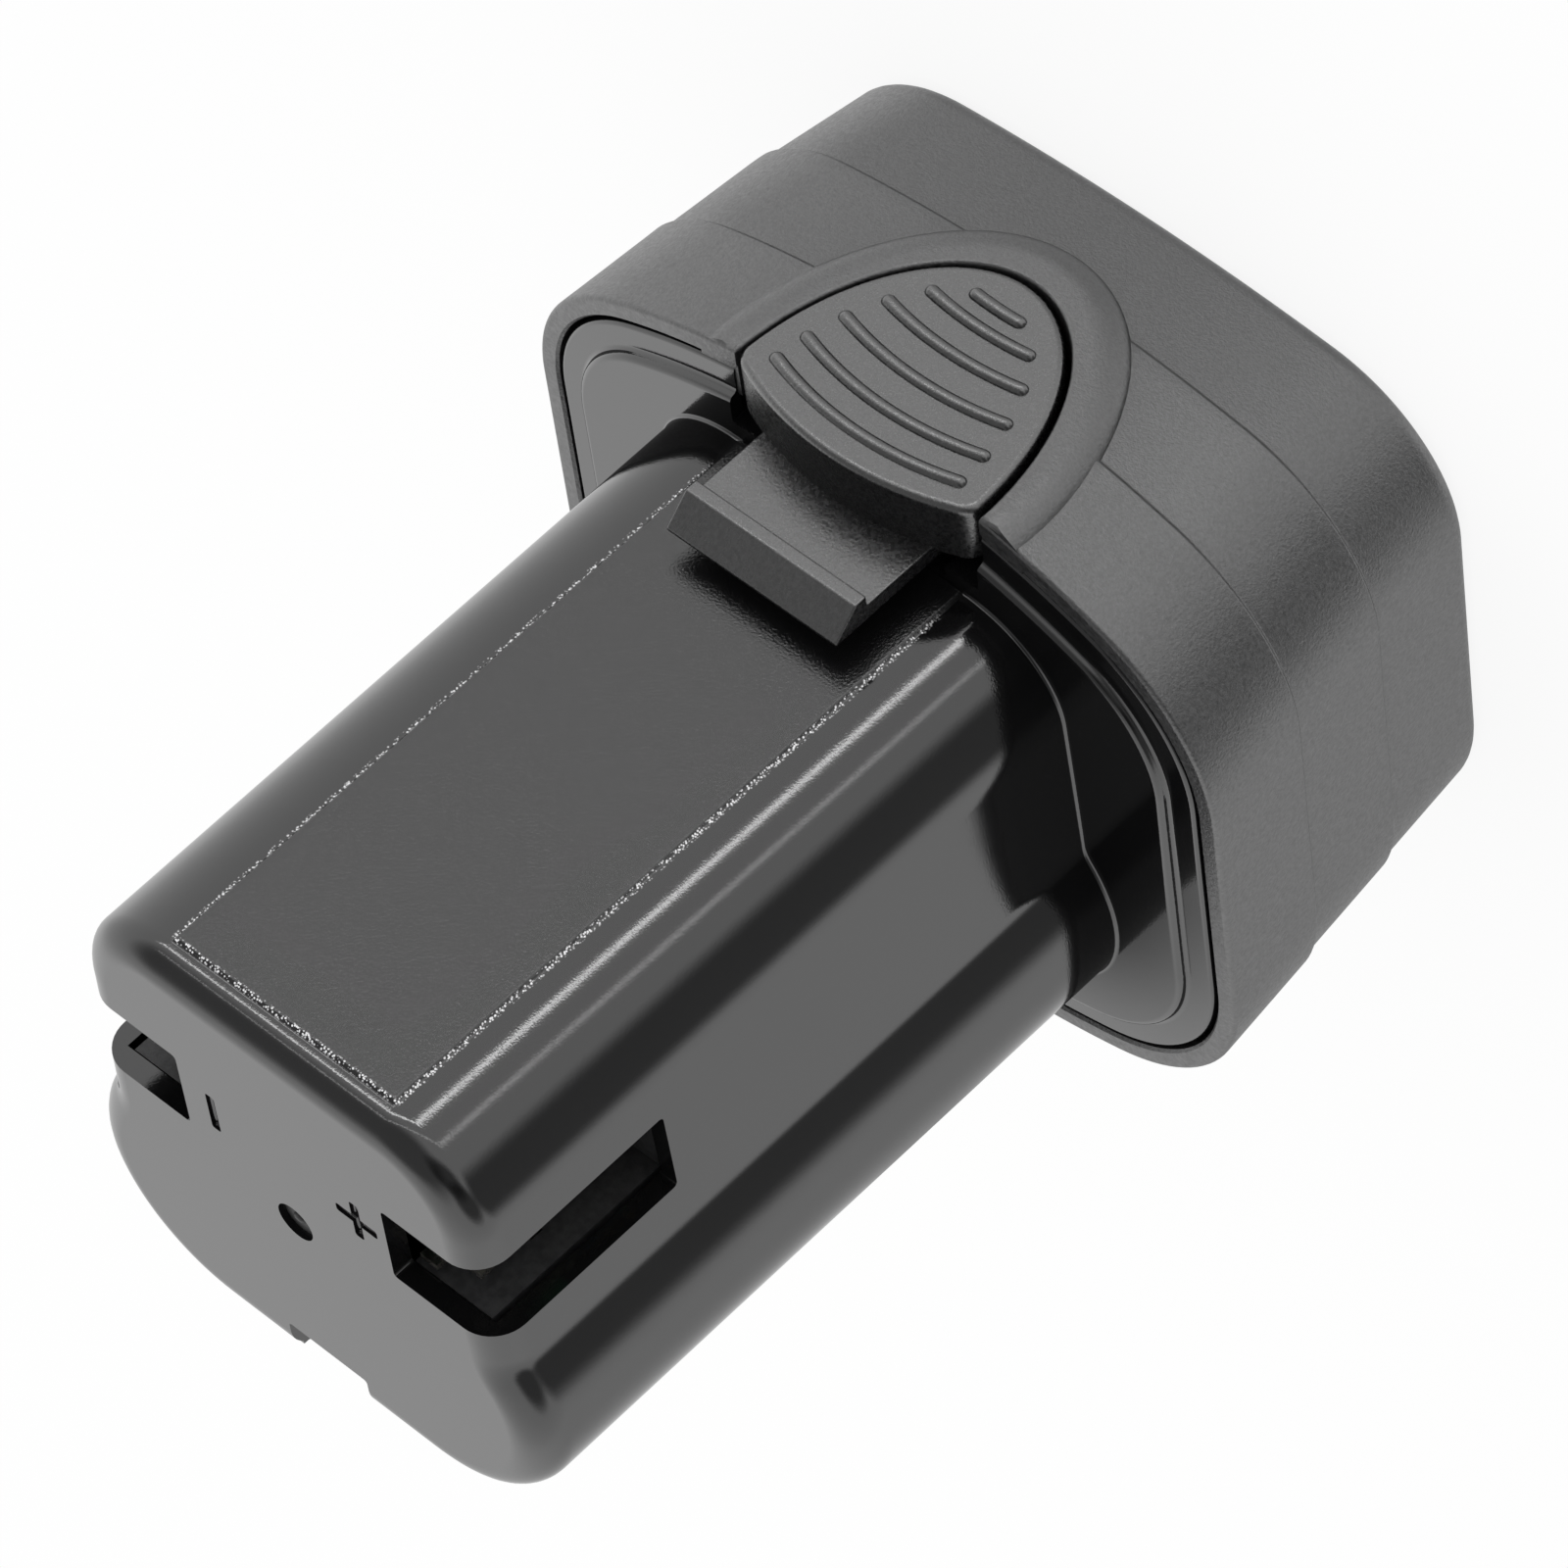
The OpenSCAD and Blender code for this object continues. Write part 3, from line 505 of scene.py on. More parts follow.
def buildCup():
    bm = combine(cupShell(), collarSolid(), "UNION")
    posts = wellFrame()
    root = cup["floor"] / 2  # posts start within the floor
    for x, y in cup["posts"]:
        addDrum(posts, (x, y, root), alongZ, cup["postR"], cup["postTop"] - root)
    bm = combine(bm, posts, "UNION")
    bm = combine(bm, padWell(), "DIFFERENCE")
    heads, shanks = bmesh.new(), bmesh.new()
    over = shaping["over"]
    for x, y in cup["posts"]:
        addDrum(heads, (x, y, -over), alongZ, cup["headR"], cup["headSeat"] + over)
        addDrum(shanks, (x, y, -over), alongZ, cup["screwR"], cup["postTop"] + 2 * over)
    bm = combine(bm, heads, "DIFFERENCE")
    bm = combine(bm, shanks, "DIFFERENCE")
    return finishPiece("baseCup", bm, "pack", cupPlastic, ["base_cup"])


buildCup()


# stem: rounded plug shell on a flange, with contact slots, key groove and marks
stem = {
    "skirt": 9.1, "tip": 83.0, "half": 17.9, "front": 19.0, "cornerR": 7.6, "blendR": 3.0, "bulgeX": 9.5,
    "bulgeY": 8.2, "bulgeR": 11.0, "sideLean": 0.45, "cornerSteps": 20, "blendSteps": 8, "bulgeSteps": 32,
    "wall": 1.5, "tipWall": 1.6, "tipRound": 2.8, "tipSteps": 10, "frontRound": 2.2,
    "panelHalf": 10.0, "panelRise": 0.25, "panelEdge": 0.36, "panelTop": 80.75, "panelFrom": 27.0,
    "panelColumns": (0, 4, 8, 9.2), "panelOutside": 10.1, "borderSteps": 6, "frontSlack": 0.02,
    "foot": 0.3, "footLow": 26.5, "footStep": 0.1, "footSteps": 6, "flangeSteps": 4, "ledgeSteps": 3,
    "flangeInset": 1.95, "flangeBottom": 25.5, "flangeRound": 0.35, "ledge": 2.3, "ledgeFillet": (0.4, 0.3),
    "plateau": 0.7, "plateauRound": (0.5, 0.4),  # fillet and round are given across and up
    "slotIn": 9.25, "slotOut": 30.0, "slotNear": -2.25, "slotFar": -9.45, "slotLength": 16.6,
    "slotSoft": 0.35,
    "keyHalf": 3.6, "keyDepth": 3.9, "keyLength": 4.6, "keyWall": 1.2, "keySoft": 0.3,
    "keySinkBack": 0.5, "keySinkTip": 0.8,  # its walls end this far inside the stem's faces
    "tongueWay": 7.9, "padWay": 10.9, "lipWay": 12.2, "padWayBack": -20.4, "lipWayTop": 27.75,
    "wayTop": 31.0, "wayLow": 20.0, "wayFront": -40.0, "waySoft": 0.3, "wayClear": 0.02, "waySideways": -0.42,
    "markX": 6.5, "markY": -5.8, "markLength": 3.7, "markWidth": 0.8, "markDepth": 0.4, "markSoft": 0.2,
    "dimple": (0.2, 0.6), "dimpleR": 1.55, "dimpleDepth": 0.5, "gateR": 0.6, "gateOval": 0.6, "gateRise": 0.3,
    "postR": 3.25, "screwR": 1.5, "screwLow": 5.0, "screwLength": 16.5,
}

# polished stem, with the front panel in a fine satin, a border painted with light specks that stand in for
# glints (painted highlights), and a matt scar in the dimple
stemFinish = {
    "color": (0.0040, 0.0040, 0.0042), "ior": 1.68, "gloss": 0.08, "satin": 0.22,
    "satinIn": 0.05, "satinUnder": 0.2, "satinLow": 28.5, "satinBehind": 0.1, "satinEdge": 0.12,
    # painted highlight: the light colour and the mask of the specks painted along the panel border as glints
    "glintPaintColor": (0.88, 0.88, 0.89), "glintUnder": 0.25, "glintWidth": 0.27, "glintLow": 31.0,
    "glintFade": 2.0, "glintGrain": 5200.0, "glintRing": (0.05, 0.3), "glintDots": (0.46, 0.3),
    "scarRough": 0.5, "scarEdge": 0.1, "scarUnder": (0.02, 0.06),
    # each texture has its noise scale, its detail and its depth
    "wave": (90.0, 2.0, 0.2), "peel": (8000.0, 1.0, 0.0035), "grain": (5200.0, 2.0, 0.03),
    "waveStrength": 0.05,
}


def stemPlasticMaterial(finish):
    material, surface = newMaterial("stemPlastic", IOR=finish["ior"])
    tree = material.node_tree
    where = objectPlace(tree)
    split = addNode(tree, "ShaderNodeSeparateXYZ", where).outputs
    across = addMath(tree, "ABSOLUTE", split["X"])

    # 1 on the panel, falling to 0 over an edge as wide as asked
    def onPanel(half, high, edge):
        sides = ((across, half, -1), (split["Y"], finish["satinBehind"] - stem["front"], -1),
                 (split["Z"], finish["satinLow"], 1), (split["Z"], high, -1))
        return product(tree, *[addSpan(tree, source, (place - way * edge) * mm, (place + way * edge) * mm)
                               for source, place, way in sides])

    satin = onPanel(stem["panelHalf"] - finish["satinIn"], stem["panelTop"] - finish["satinUnder"],
                    finish["satinEdge"])
    # painted highlight: the border mask and the dots below paint light specks that stand in for glints
    border = onPanel(stem["panelHalf"], stem["panelTop"] - finish["glintUnder"], finish["glintWidth"])
    ring = addMath(tree, "PINGPONG", border, 0.5)  # highest halfway down the border
    dots = addNode(tree, "ShaderNodeTexVoronoi", Vector=where, Scale=finish["glintGrain"]).outputs["Distance"]
    low = finish["glintLow"]
    paintedGlints = product(tree, addSpan(tree, ring, *finish["glintRing"]),
                      addSpan(tree, dots, *finish["glintDots"]),
                      addSpan(tree, split["Z"], low * mm, (low + finish["glintFade"]) * mm))
    # painted highlight: the light specks are mixed into the base colour along the border
    color = addMix(tree, "RGBA", paintedGlints, (*finish["color"], 1), (*finish["glintPaintColor"], 1))
    feed(surface.inputs["Base Color"], color)

    scarPlace = Vector((*stem["dimple"], stem["tip"])) * mm
    away = addNode(tree, "ShaderNodeVectorMath", where, scarPlace, operation="DISTANCE").outputs["Value"]
    rim, (start, end) = stem["dimpleR"], finish["scarUnder"]
    inner = rim - finish["scarEdge"]
    scar = product(tree, addSpan(tree, away, rim * mm, inner * mm, 0, finish["scarRough"]),
                   addSpan(tree, split["Z"], (stem["tip"] - start) * mm, (stem["tip"] - end) * mm))
    polish = addSpan(tree, satin, 0, 1, finish["gloss"], finish["satin"])
    feed(surface.inputs["Roughness"], addMath(tree, "ADD", polish, scar))

    normal = None
    for texture, strength in (("wave", finish["waveStrength"]), ("peel", 1.0), ("grain", satin)):
        scale, detail, depth = finish[texture]
        normal = addBump(tree, addNoise(tree, scale, detail), strength, depth, normal)
    feed(surface.inputs["Normal"], normal)
    return material


def stemLoop(bm, inset, z):
    half, radius, lean = stem["half"], stem["cornerR"], stem["sideLean"]
    flat, cornerY = half - radius, radius - stem["front"]
    count = stem["borderSteps"]
    border = [stem["panelHalf"] - stem["panelEdge"] * n / count for n in range(count, -1, -1)]
    columns = [*stem["panelColumns"], *border, stem["panelOutside"], flat]
    frontRuns = [((b - a, 0, 0),) for a, b in zip(columns, columns[1:])]
    bulgeX, bulgeY = stem["bulgeX"], stem["bulgeY"]
    blendX = half + lean + stem["blendR"]
    blendY = bulgeY - math.sqrt((stem["bulgeR"] + stem["blendR"]) ** 2 - (blendX - bulgeX) ** 2)
    blend = 180 - math.degrees(math.atan2(bulgeY - blendY, bulgeX - blendX))
    halfSide = (blendY - cornerY) / 2
    moves = frontRuns + [((flat, cornerY, z), 90, stem["cornerSteps"])]
    moves += [((lean / 2, halfSide, 0),)] * 2
    moves += [((blendX, blendY, z), -blend, stem["blendSteps"]),
              ((bulgeX, bulgeY, z), 90 + blend, stem["bulgeSteps"])]
    moves += [((-bulgeX / 2, 0, 0),)] * 4
    moves += [((-bulgeX, bulgeY, z), 90 + blend, stem["bulgeSteps"]),
              ((-blendX, blendY, z), -blend, stem["blendSteps"])]
    moves += [((lean / 2, -halfSide, 0),)] * 2
    moves += [((-flat, cornerY, z), 90, stem["cornerSteps"])] + frontRuns[::-1]
    return traceLoop(bm, (0, inset - stem["front"], z), moves)


# the front panel stands proud of the stem, with a smooth border
def raisePanel(bm):
    edge = stem["panelEdge"]
    for v in bm.verts:
        if abs(stem["front"] + v.co.y) > stem["frontSlack"] or v.co.z < stem["panelFrom"]:
            continue
        share = min((stem["panelHalf"] - abs(v.co.x)) / edge, (stem["panelTop"] - v.co.z) / edge)
        v.co.y -= stem["panelRise"] * ease(share)


# the tip's edge is tighter along the front face
def liftFront(loop, up, out):
    middle = stem["cornerR"] - stem["front"]
    for v in {v for e in loop for v in e.verts}:
        share = clamp((middle - v.co.y) / (stem["cornerR"] - stem["frontRound"]))
        v.co.z += up * share
        v.co.y -= out * share


def stemShell():
    bm = bmesh.new()
    tip, skirt, tipR, foot = stem["tip"], stem["skirt"], stem["tipRound"], stem["foot"]
    plateau, footLow = cup["height"] + stem["plateau"], stem["footLow"]
    loops = [stemLoop(bm, 0, skirt), stemLoop(bm, 0, footLow),
             stemLoop(bm, -foot, footLow + stem["footStep"])]
    loops += [stemLoop(bm, -foot * (1 - s), plateau + foot * (1 - c))
              for s, c in quarter(stem["footSteps"])]
    edge, count, spare = stem["panelEdge"], stem["borderSteps"], tipR - stem["frontRound"]
    borderTop = stem["panelTop"] - spare
    panelRows = [stemLoop(bm, 0, borderTop - edge * n / count) for n in (1.5 * count, *range(count, 0, -1))]
    tipTurns = quarter(stem["tipSteps"])
    tipRows = [stemLoop(bm, tipR * (1 - c), tip - tipR + tipR * s) for s, c in tipTurns]
    for loop in panelRows:
        liftFront(loop, spare, 0)
    for loop, (s, c) in zip(tipRows, tipTurns):
        liftFront(loop, spare * (1 - s), spare * (1 - c))
    loops += panelRows + tipRows
    inner = [stemLoop(bm, stem["wall"], z) for z in (skirt, tip - stem["tipWall"])]
    bridgeAll(bm, loops)
    bridgeAll(bm, inner)
    bridgeAll(bm, [loops[0], inner[0]])
    capLoop(bm, loops[-1])
    capLoop(bm, inner[-1])
    raisePanel(bm)
    return closeSolid(bm)


def flangePlate():
    bm = bmesh.new()
    top, low, over = cup["height"], stem["flangeBottom"], shaping["over"]
    inset, edge = stem["flangeInset"], stem["flangeRound"]
    step, rise = inset + stem["ledge"], top + stem["plateau"]
    turns = quarter(stem["flangeSteps"])
    rows = [(inset, low)] + [(inset + edge * (1 - c), top - edge + edge * s) for s, c in turns]
    across, up = stem["ledgeFillet"]
    rows += [(step - across * (1 - s), top + up * (1 - c)) for s, c in quarter(stem["ledgeSteps"])]
    across, up = stem["plateauRound"]
    rows += [(step + across * (1 - c), rise - up + up * s) for s, c in turns]
    loft(bm, [cupLoop(bm, inward, z, top) for inward, z in rows])
    hole = bmesh.new()  # cleared inside the stem's wall
    loft(hole, [stemLoop(hole, stem["wall"] / 2, z) for z in (low - over, rise + over)])
    return combine(closeSolid(bm), closeSolid(hole), "DIFFERENCE")


# walls of the key groove, and the posts that the base screws bite into
def stemRibs(back, floorY, keyZ):
    ribs = bmesh.new()
    half, wall = stem["keyHalf"] + stem["keyWall"], stem["keyWall"]
    addBox(ribs, (-half, floorY - wall, keyZ - stem["tipWall"]),
           (half, back - stem["keySinkBack"], stem["tip"] - stem["keySinkTip"]))
    length = stem["flangeBottom"] + shaping["over"] - cup["postTop"]
    for x, y in cup["posts"]:
        addDrum(ribs, (x, y, cup["postTop"]), alongZ, stem["postR"], length)
    return ribs


# contact slots at both sides and the key groove at the back
def stemOpenings(back, floorY, keyZ):
    cuts = bmesh.new()
    above = stem["tip"] + shaping["over"]
    for side in (-1, 1):
        near, far = sorted((side * stem["slotIn"], side * stem["slotOut"]))
        addBox(cuts, (near, stem["slotFar"], stem["tip"] - stem["slotLength"]),
               (far, stem["slotNear"], above), stem["slotSoft"])
    addBox(cuts, (-stem["keyHalf"], floorY, keyZ), (stem["keyHalf"], back + shaping["over"], above),
           stem["keySoft"])
    return cuts


# room for the button's tongue, pad and lip
def latchWays():
    flush = -stem["front"] - stem["panelRise"] - stem["wayClear"]
    middle = stem["waySideways"]
    for half, back, top in ((stem["tongueWay"], flush, stem["wayTop"]),
                            (stem["padWay"], stem["padWayBack"], stem["wayTop"]),
                            (stem["lipWay"], stem["padWayBack"], stem["lipWayTop"])):
        way = bmesh.new()
        addBox(way, (middle - half, stem["wayFront"], stem["wayLow"]), (middle + half, back, top),
               stem["waySoft"])
        yield way


# the minus mark at +X and the two bars of the plus mark at -X
def markBars():
    deep, above = stem["tip"] - stem["markDepth"], stem["tip"] + shaping["over"]
    x, y = stem["markX"], stem["markY"]
    length, width = stem["markLength"] / 2, stem["markWidth"] / 2
    for middle, dx, dy in ((x, width, length), (-x, length, width), (-x, width, length)):
        bar = bmesh.new()
        addBox(bar, (middle - dx, y - dy, deep), (middle + dx, y + dy, above), stem["markSoft"])
        yield bar


def buildStem():
    back = stem["bulgeY"] + stem["bulgeR"]
    floorY, keyZ = back - stem["keyDepth"], stem["tip"] - stem["keyLength"]
    bm = combine(stemShell(), flangePlate(), "UNION")
    bm = combine(bm, stemRibs(back, floorY, keyZ), "UNION")
    bm = combine(bm, stemOpenings(back, floorY, keyZ), "DIFFERENCE")
    holes = bmesh.new()
    dimpleFloor = (*stem["dimple"], stem["tip"] - stem["dimpleDepth"])
    addDrum(holes, dimpleFloor, alongZ, stem["dimpleR"], stem["dimpleDepth"] + shaping["over"], sides=40)
    for x, y in cup["posts"]:
        addDrum(holes, (x, y, stem["screwLow"]), alongZ, stem["screwR"], stem["screwLength"], sides=24)
    for cut in (*latchWays(), holes, *markBars()):
        bm = combine(bm, cut, "DIFFERENCE")
    gate = bmesh.new()  # the moulding gate's broken stub in the dimple
    bmesh.ops.create_icosphere(gate, subdivisions=2, radius=1)
    size = (stem["gateR"], stem["gateOval"] * stem["gateR"], stem["gateRise"])
    bmesh.ops.scale(gate, verts=gate.verts, vec=size)
    shift(gate, *dimpleFloor)
    bm = combine(bm, gate, "UNION")
    stemPlastic = stemPlasticMaterial(stemFinish)
    return finishPiece("stemHousing", bm, "pack", stemPlastic, ["stem_housing"])


buildStem()


# latch button: thumb pad with curved ribs, and the tongue with its tooth
latch = {
    "half": 10.4, "depth": 16.4, "crown": 2.3, "crownSteps": 20, "back": -22.35, "front": -27.22,
    "slope": 0.03, "edge": 0.55, "corner": 0.95, "roundSteps": 6, "sideways": -0.42,
    "ribTop": 0.38, "ribSink": 0.25, "ribWidth": 1.15, "ribArcR": 27.0, "ribWeld": 1e-4,
    # each rib has its depth under the rim and half its length
    "ribs": ((1.35, 8.0), (3.9, 7.7), (6.75, 7.0), (9.5, 5.8), (11.9, 4.2), (13.55, 1.85)),
    "lipHalf": 11.5, "lipDepth": 14.4, "lipDrop": 0.4, "lipFront": -23.85, "lipBack": -22.65,
    "springZ": 20.0, "pocketR": 3.2, "pocketFloor": -25.4, "pocketLength": 6.0,
    "tongueHalf": 7.5, "edgeSoft": 0.12,
    # the tongue's outline from the side, with its tooth
    "tongue": ((-21.25, 24.5), (-22.55, 24.5), (-22.55, 35.2), (-23.45, 35.2), (-23.45, 36.2), (-21.5, 38.3),
               (-21.25, 38.3)),
}


def padBody():
    bm = bmesh.new()
    rim, half, y, slack = cup["height"], latch["half"], latch["back"], shaping["slack"]
    first, last = hangArc(bm, half, latch["depth"], y, rim)
    radius = (half ** 2 + latch["crown"] ** 2) / (2 * latch["crown"])
    reach = 2 * math.degrees(math.asin(half / radius))
    end = swing(bm, last, (0, y, rim + latch["crown"] - radius), -reach, latch["crownSteps"], alongY)
    bmesh.ops.weld_verts(bm, targetmap={end: first})
    face = bmesh.ops.contextual_create(bm, geom=bm.edges[:])["faces"][0]
    raised = vertsOf(bmesh.ops.extrude_face_region(bm, geom=[face])["geom"])
    bmesh.ops.translate(bm, verts=raised, vec=(0, latch["front"] - y, 0))
    bmesh.ops.recalc_face_normals(bm, faces=bm.faces)
    corners = [e for e in bm.edges if abs(e.verts[0].co.y - e.verts[1].co.y) > slack
               and abs(abs(e.verts[0].co.x) - half) < slack and abs(e.verts[0].co.z - rim) < slack]
    roundEdges(bm, corners, latch["corner"], latch["roundSteps"])
    top = [e for e in bm.edges if all(abs(v.co.y - latch["front"]) < slack for v in e.verts)]
    roundEdges(bm, top, latch["edge"], latch["roundSteps"])
    for v in bm.verts:  # the top slopes as the collar's crest does
        if v.co.y < latch["front"] + latch["edge"] + slack:
            v.co.y += latch["slope"] * (rim - v.co.z)
    return closeSolid(bm)


def turnY(degrees):
    return Matrix.Rotation(math.radians(degrees), 3, "Y")


# one rib: a half-round section swung along its arc, with round ends
def addRib(bm, depth, reach):
    radius, width, sink = latch["ribArcR"], latch["ribWidth"] / 2, latch["ribSink"]
    turn = math.degrees(math.asin(reach / radius))
    known = set(bm.verts)
    swing(bm, bm.verts.new((0, 0, width)), (0, 0, 0), 180, steps=10, axis=alongX)
    profile = [v for v in bm.verts if v not in known]
    for v in profile:
        v.co.y = -abs(v.co.y) / width * (latch["ribTop"] + sink)
    bmesh.ops.translate(bm, verts=profile, vec=(0, sink, radius))
    profileEdges = list({e for v in profile for e in v.link_edges})
    bmesh.ops.rotate(bm, verts=profile, cent=(0, 0, 0), matrix=turnY(-turn))
    path = bmesh.ops.spin(bm, geom=profile + profileEdges, cent=(0, 0, 0), axis=alongY,
                          angle=math.radians(2 * turn), steps=28)
    for side, edges in ((-1, profileEdges), (1, edgesOf(path["geom_last"]))):
        inner = radius - shaping["slack"]
        outer = [e for e in edges if all(math.hypot(v.co.x, v.co.z) > inner for v in e.verts)]
        verts = list({v for e in outer for v in e.verts})
        middle = turnY(side * turn) @ Vector((0, sink, radius))
        bmesh.ops.spin(bm, geom=verts + outer, cent=middle, axis=alongY, angle=side * math.pi, steps=12)
    bmesh.ops.remove_doubles(bm, verts=[v for v in bm.verts if v not in known], dist=latch["ribWeld"])
    fresh = {v for v in bm.verts if v not in known}
    arcZ = cup["height"] - depth - radius * math.cos(math.radians(turn))
    padTop = latch["front"] + latch["slope"] * depth
    bmesh.ops.translate(bm, verts=list(fresh), vec=(0, padTop, arcZ))
    bmesh.ops.holes_fill(bm, edges=[e for e in bm.edges if e.is_boundary and e.verts[0] in fresh], sides=0)


def tongueBody():
    bm = bmesh.new()
    half = latch["tongueHalf"]
    face = bm.faces.new([bm.verts.new((-half, y, z)) for y, z in latch["tongue"]])
    moved = vertsOf(bmesh.ops.extrude_face_region(bm, geom=[face])["geom"])
    bmesh.ops.translate(bm, verts=moved, vec=(2 * half, 0, 0))
    bmesh.ops.recalc_face_normals(bm, faces=bm.faces)
    roundEdges(bm, bm.edges[:], latch["edgeSoft"], segments=3)
    return closeSolid(bm)


# thin edge behind the collar's frame, which keeps the button in
def padLip():
    bm = bmesh.new()
    loft(bm, [archLoop(bm, latch["lipHalf"], latch["lipDepth"], latch[end], latch["lipDrop"])
              for end in ("lipBack", "lipFront")])
    return closeSolid(bm)


def buildLatch():
    ribs = bmesh.new()
    for depth, reach in latch["ribs"]:
        addRib(ribs, depth, reach)
    bm = combine(padBody(), closeSolid(ribs), "UNION")
    bm = combine(bm, tongueBody(), "UNION")
    bm = combine(bm, padLip(), "UNION")
    pocket = bmesh.new()
    pocketFloor = (0, latch["pocketFloor"], latch["springZ"])
    addDrum(pocket, pocketFloor, alongY, latch["pocketR"], latch["pocketLength"])
    bm = combine(bm, pocket, "DIFFERENCE")
    shift(bm, x=latch["sideways"])  # it rests against one side of its well
    return finishPiece("latchButton", bm, "latch", latchPlastic, ["latch_button"])


buildLatch()


# return spring behind the button: a round wire spun as a coil
spring = {
    "coilR": 2.6, "wireR": 0.3, "wireSides": 14, "turns": 4, "turnSteps": 36,
    "start": -25.05, "end": -19.35, "height": 20.0, "seat": -19.0, "keep": 0.73,
}


def buildSpring():
    bm = bmesh.new()
    bmesh.ops.create_circle(bm, segments=spring["wireSides"], radius=spring["wireR"],
                            matrix=Matrix.Translation((spring["coilR"], spring["start"], 0)))
    start = bm.edges[:]
    steps = spring["turnSteps"] * spring["turns"]
    rise = (spring["end"] - spring["start"]) / steps
    coil = bmesh.ops.spin(bm, geom=bm.verts[:] + start, cent=(0, 0, 0), axis=(0, -1, 0), steps=steps,
                          angle=2 * math.pi * spring["turns"], dvec=(0, rise, 0))
    capLoop(bm, start)
    capLoop(bm, edgesOf(coil["geom_last"]))
    shift(bm, z=spring["height"])
    piece = finishPiece("latchSpring", closeSolid(bm), "pack", zincSteel, ["latch_spring"])
    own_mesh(piece)


buildSpring()


# base screws: turned head with a cross recess, on a ridged shank
screw = {
    "headR": 2.2, "headLow": 3.8, "headTop": 6.0, "edge": 0.35, "shankR": 1.45, "rootR": 1.2, "ridgeLow": 8.0,
    "pitch": 1.1, "ridges": 8, "tip": 19.0, "point": 1.2, "sides": 40,
    "crossHalf": 1.25, "crossWidth": 0.36, "crossDepth": 1.2,
}


def buildScrews():
    bm = bmesh.new()
    low, edge, pitch = screw["headLow"], screw["edge"], screw["pitch"]
    outline = [(screw["headR"] - edge, low), (screw["headR"], low + edge), (screw["headR"], screw["headTop"]),
               (screw["shankR"], screw["headTop"])]
    for n in range(screw["ridges"]):
        z = screw["ridgeLow"] + n * pitch
        outline += [(screw["rootR"], z), (screw["shankR"], z + pitch / 2)]
    outline += [(screw["rootR"], screw["tip"] - screw["point"]), (0, screw["tip"])]
    vert = bm.verts.new((0, 0, low))
    for r, z in outline:
        vert = runOn(bm, vert, (r - vert.co.x, 0, z - vert.co.z))
    bmesh.ops.spin(bm, geom=bm.verts[:] + bm.edges[:], cent=(0, 0, 0), axis=alongZ, angle=2 * math.pi,
                   steps=screw["sides"], use_merge=True)
    closeSolid(bm)
    for x, y in ((screw["crossHalf"], screw["crossWidth"]), (screw["crossWidth"], screw["crossHalf"])):
        slot = bmesh.new()
        addBox(slot, (-x, -y, low - shaping["over"]), (x, y, low + screw["crossDepth"]))
        bm = combine(bm, slot, "DIFFERENCE")
    first = bm.verts[:] + bm.edges[:] + bm.faces[:]
    places = cup["posts"]
    for x, y in places[1:]:
        copy = bmesh.ops.duplicate(bm, geom=first)["geom"]
        bmesh.ops.translate(bm, verts=vertsOf(copy), vec=(x, y, 0))
    bmesh.ops.translate(bm, verts=vertsOf(first), vec=(*places[0], 0))
    finishPiece("baseScrews", bm, "pack", zincSteel, ["base_screws"])


buildScrews()


# sleeved cell: the flat ends are bare metal
cellFinish = {
    "ior": 1.5, "grain": 900.0, "grainStrength": 0.4, "grainDepth": 0.03, "dark": (0.02, 0.09, 0.2),
    "light": (0.03, 0.12, 0.26), "tintScale": 300.0, "mottleScale": 500.0, "rough": (0.25, 0.4),
    "endColor": (0.62, 0.61, 0.58), "endFrom": 0.9,  # how far upright a face points at an end
}


def cellSkin(finish):
    material, surface = newMaterial("cellSkin", IOR=finish["ior"])
    tree = material.node_tree
    grainBump(tree, surface, finish["grain"], finish["grainStrength"], finish["grainDepth"])
    facing = addNode(tree, "ShaderNodeTexCoord").outputs["Normal"]
    upright = addMath(tree, "ABSOLUTE", addNode(tree, "ShaderNodeSeparateXYZ", facing).outputs["Z"])
    end = addMath(tree, "GREATER_THAN", upright, finish["endFrom"])
    sleeve = tint(tree, finish["tintScale"], finish["dark"], finish["light"])
    feed(surface.inputs["Base Color"], addMix(tree, "RGBA", end, sleeve, (*finish["endColor"], 1)))
    feed(surface.inputs["Metallic"], end)
    feed(surface.inputs["Roughness"], mottle(tree, finish["mottleScale"], *finish["rough"]))
    return material


# inner pieces keep their shape and get their finish
insideFinish = {
    # dark and light colour, roughness, scale and depth of the grain, and how far it is a metal
    "nickelStrip": ((0.58, 0.57, 0.53), (0.70, 0.69, 0.65), 0.30, 1200, 0.02, 1.0),
    "contactMetal": ((0.60, 0.58, 0.53), (0.74, 0.72, 0.66), 0.26, 1600, 0.015, 1.0),
    "fishPaper": ((0.55, 0.62, 0.46), (0.68, 0.74, 0.58), 0.75, 1400, 0.04, 0.0),
    "holderPlastic": ((0.016, 0.016, 0.017), (0.028, 0.028, 0.029), 0.5, 2200, 0.03, 0.0),
    "foamPad": ((0.03, 0.03, 0.03), (0.09, 0.09, 0.09), 0.9, 2600, 0.12, 0.0),
    "solderMask": ((0.012, 0.13, 0.045), (0.02, 0.18, 0.07), 0.35, 700, 0.02, 0.0),
    "chipBody": ((0.014, 0.014, 0.015), (0.03, 0.03, 0.031), 0.55, 3000, 0.02, 0.0),
    "ceramic": ((0.34, 0.26, 0.15), (0.46, 0.36, 0.22), 0.45, 2600, 0.02, 0.0),
    "blackRubber": ((0.010, 0.010, 0.010), (0.022, 0.022, 0.022), 0.5, 1800, 0.02, 0.0),
    "yellowRubber": ((0.60, 0.42, 0.02), (0.72, 0.53, 0.04), 0.45, 1800, 0.02, 0.0),
}
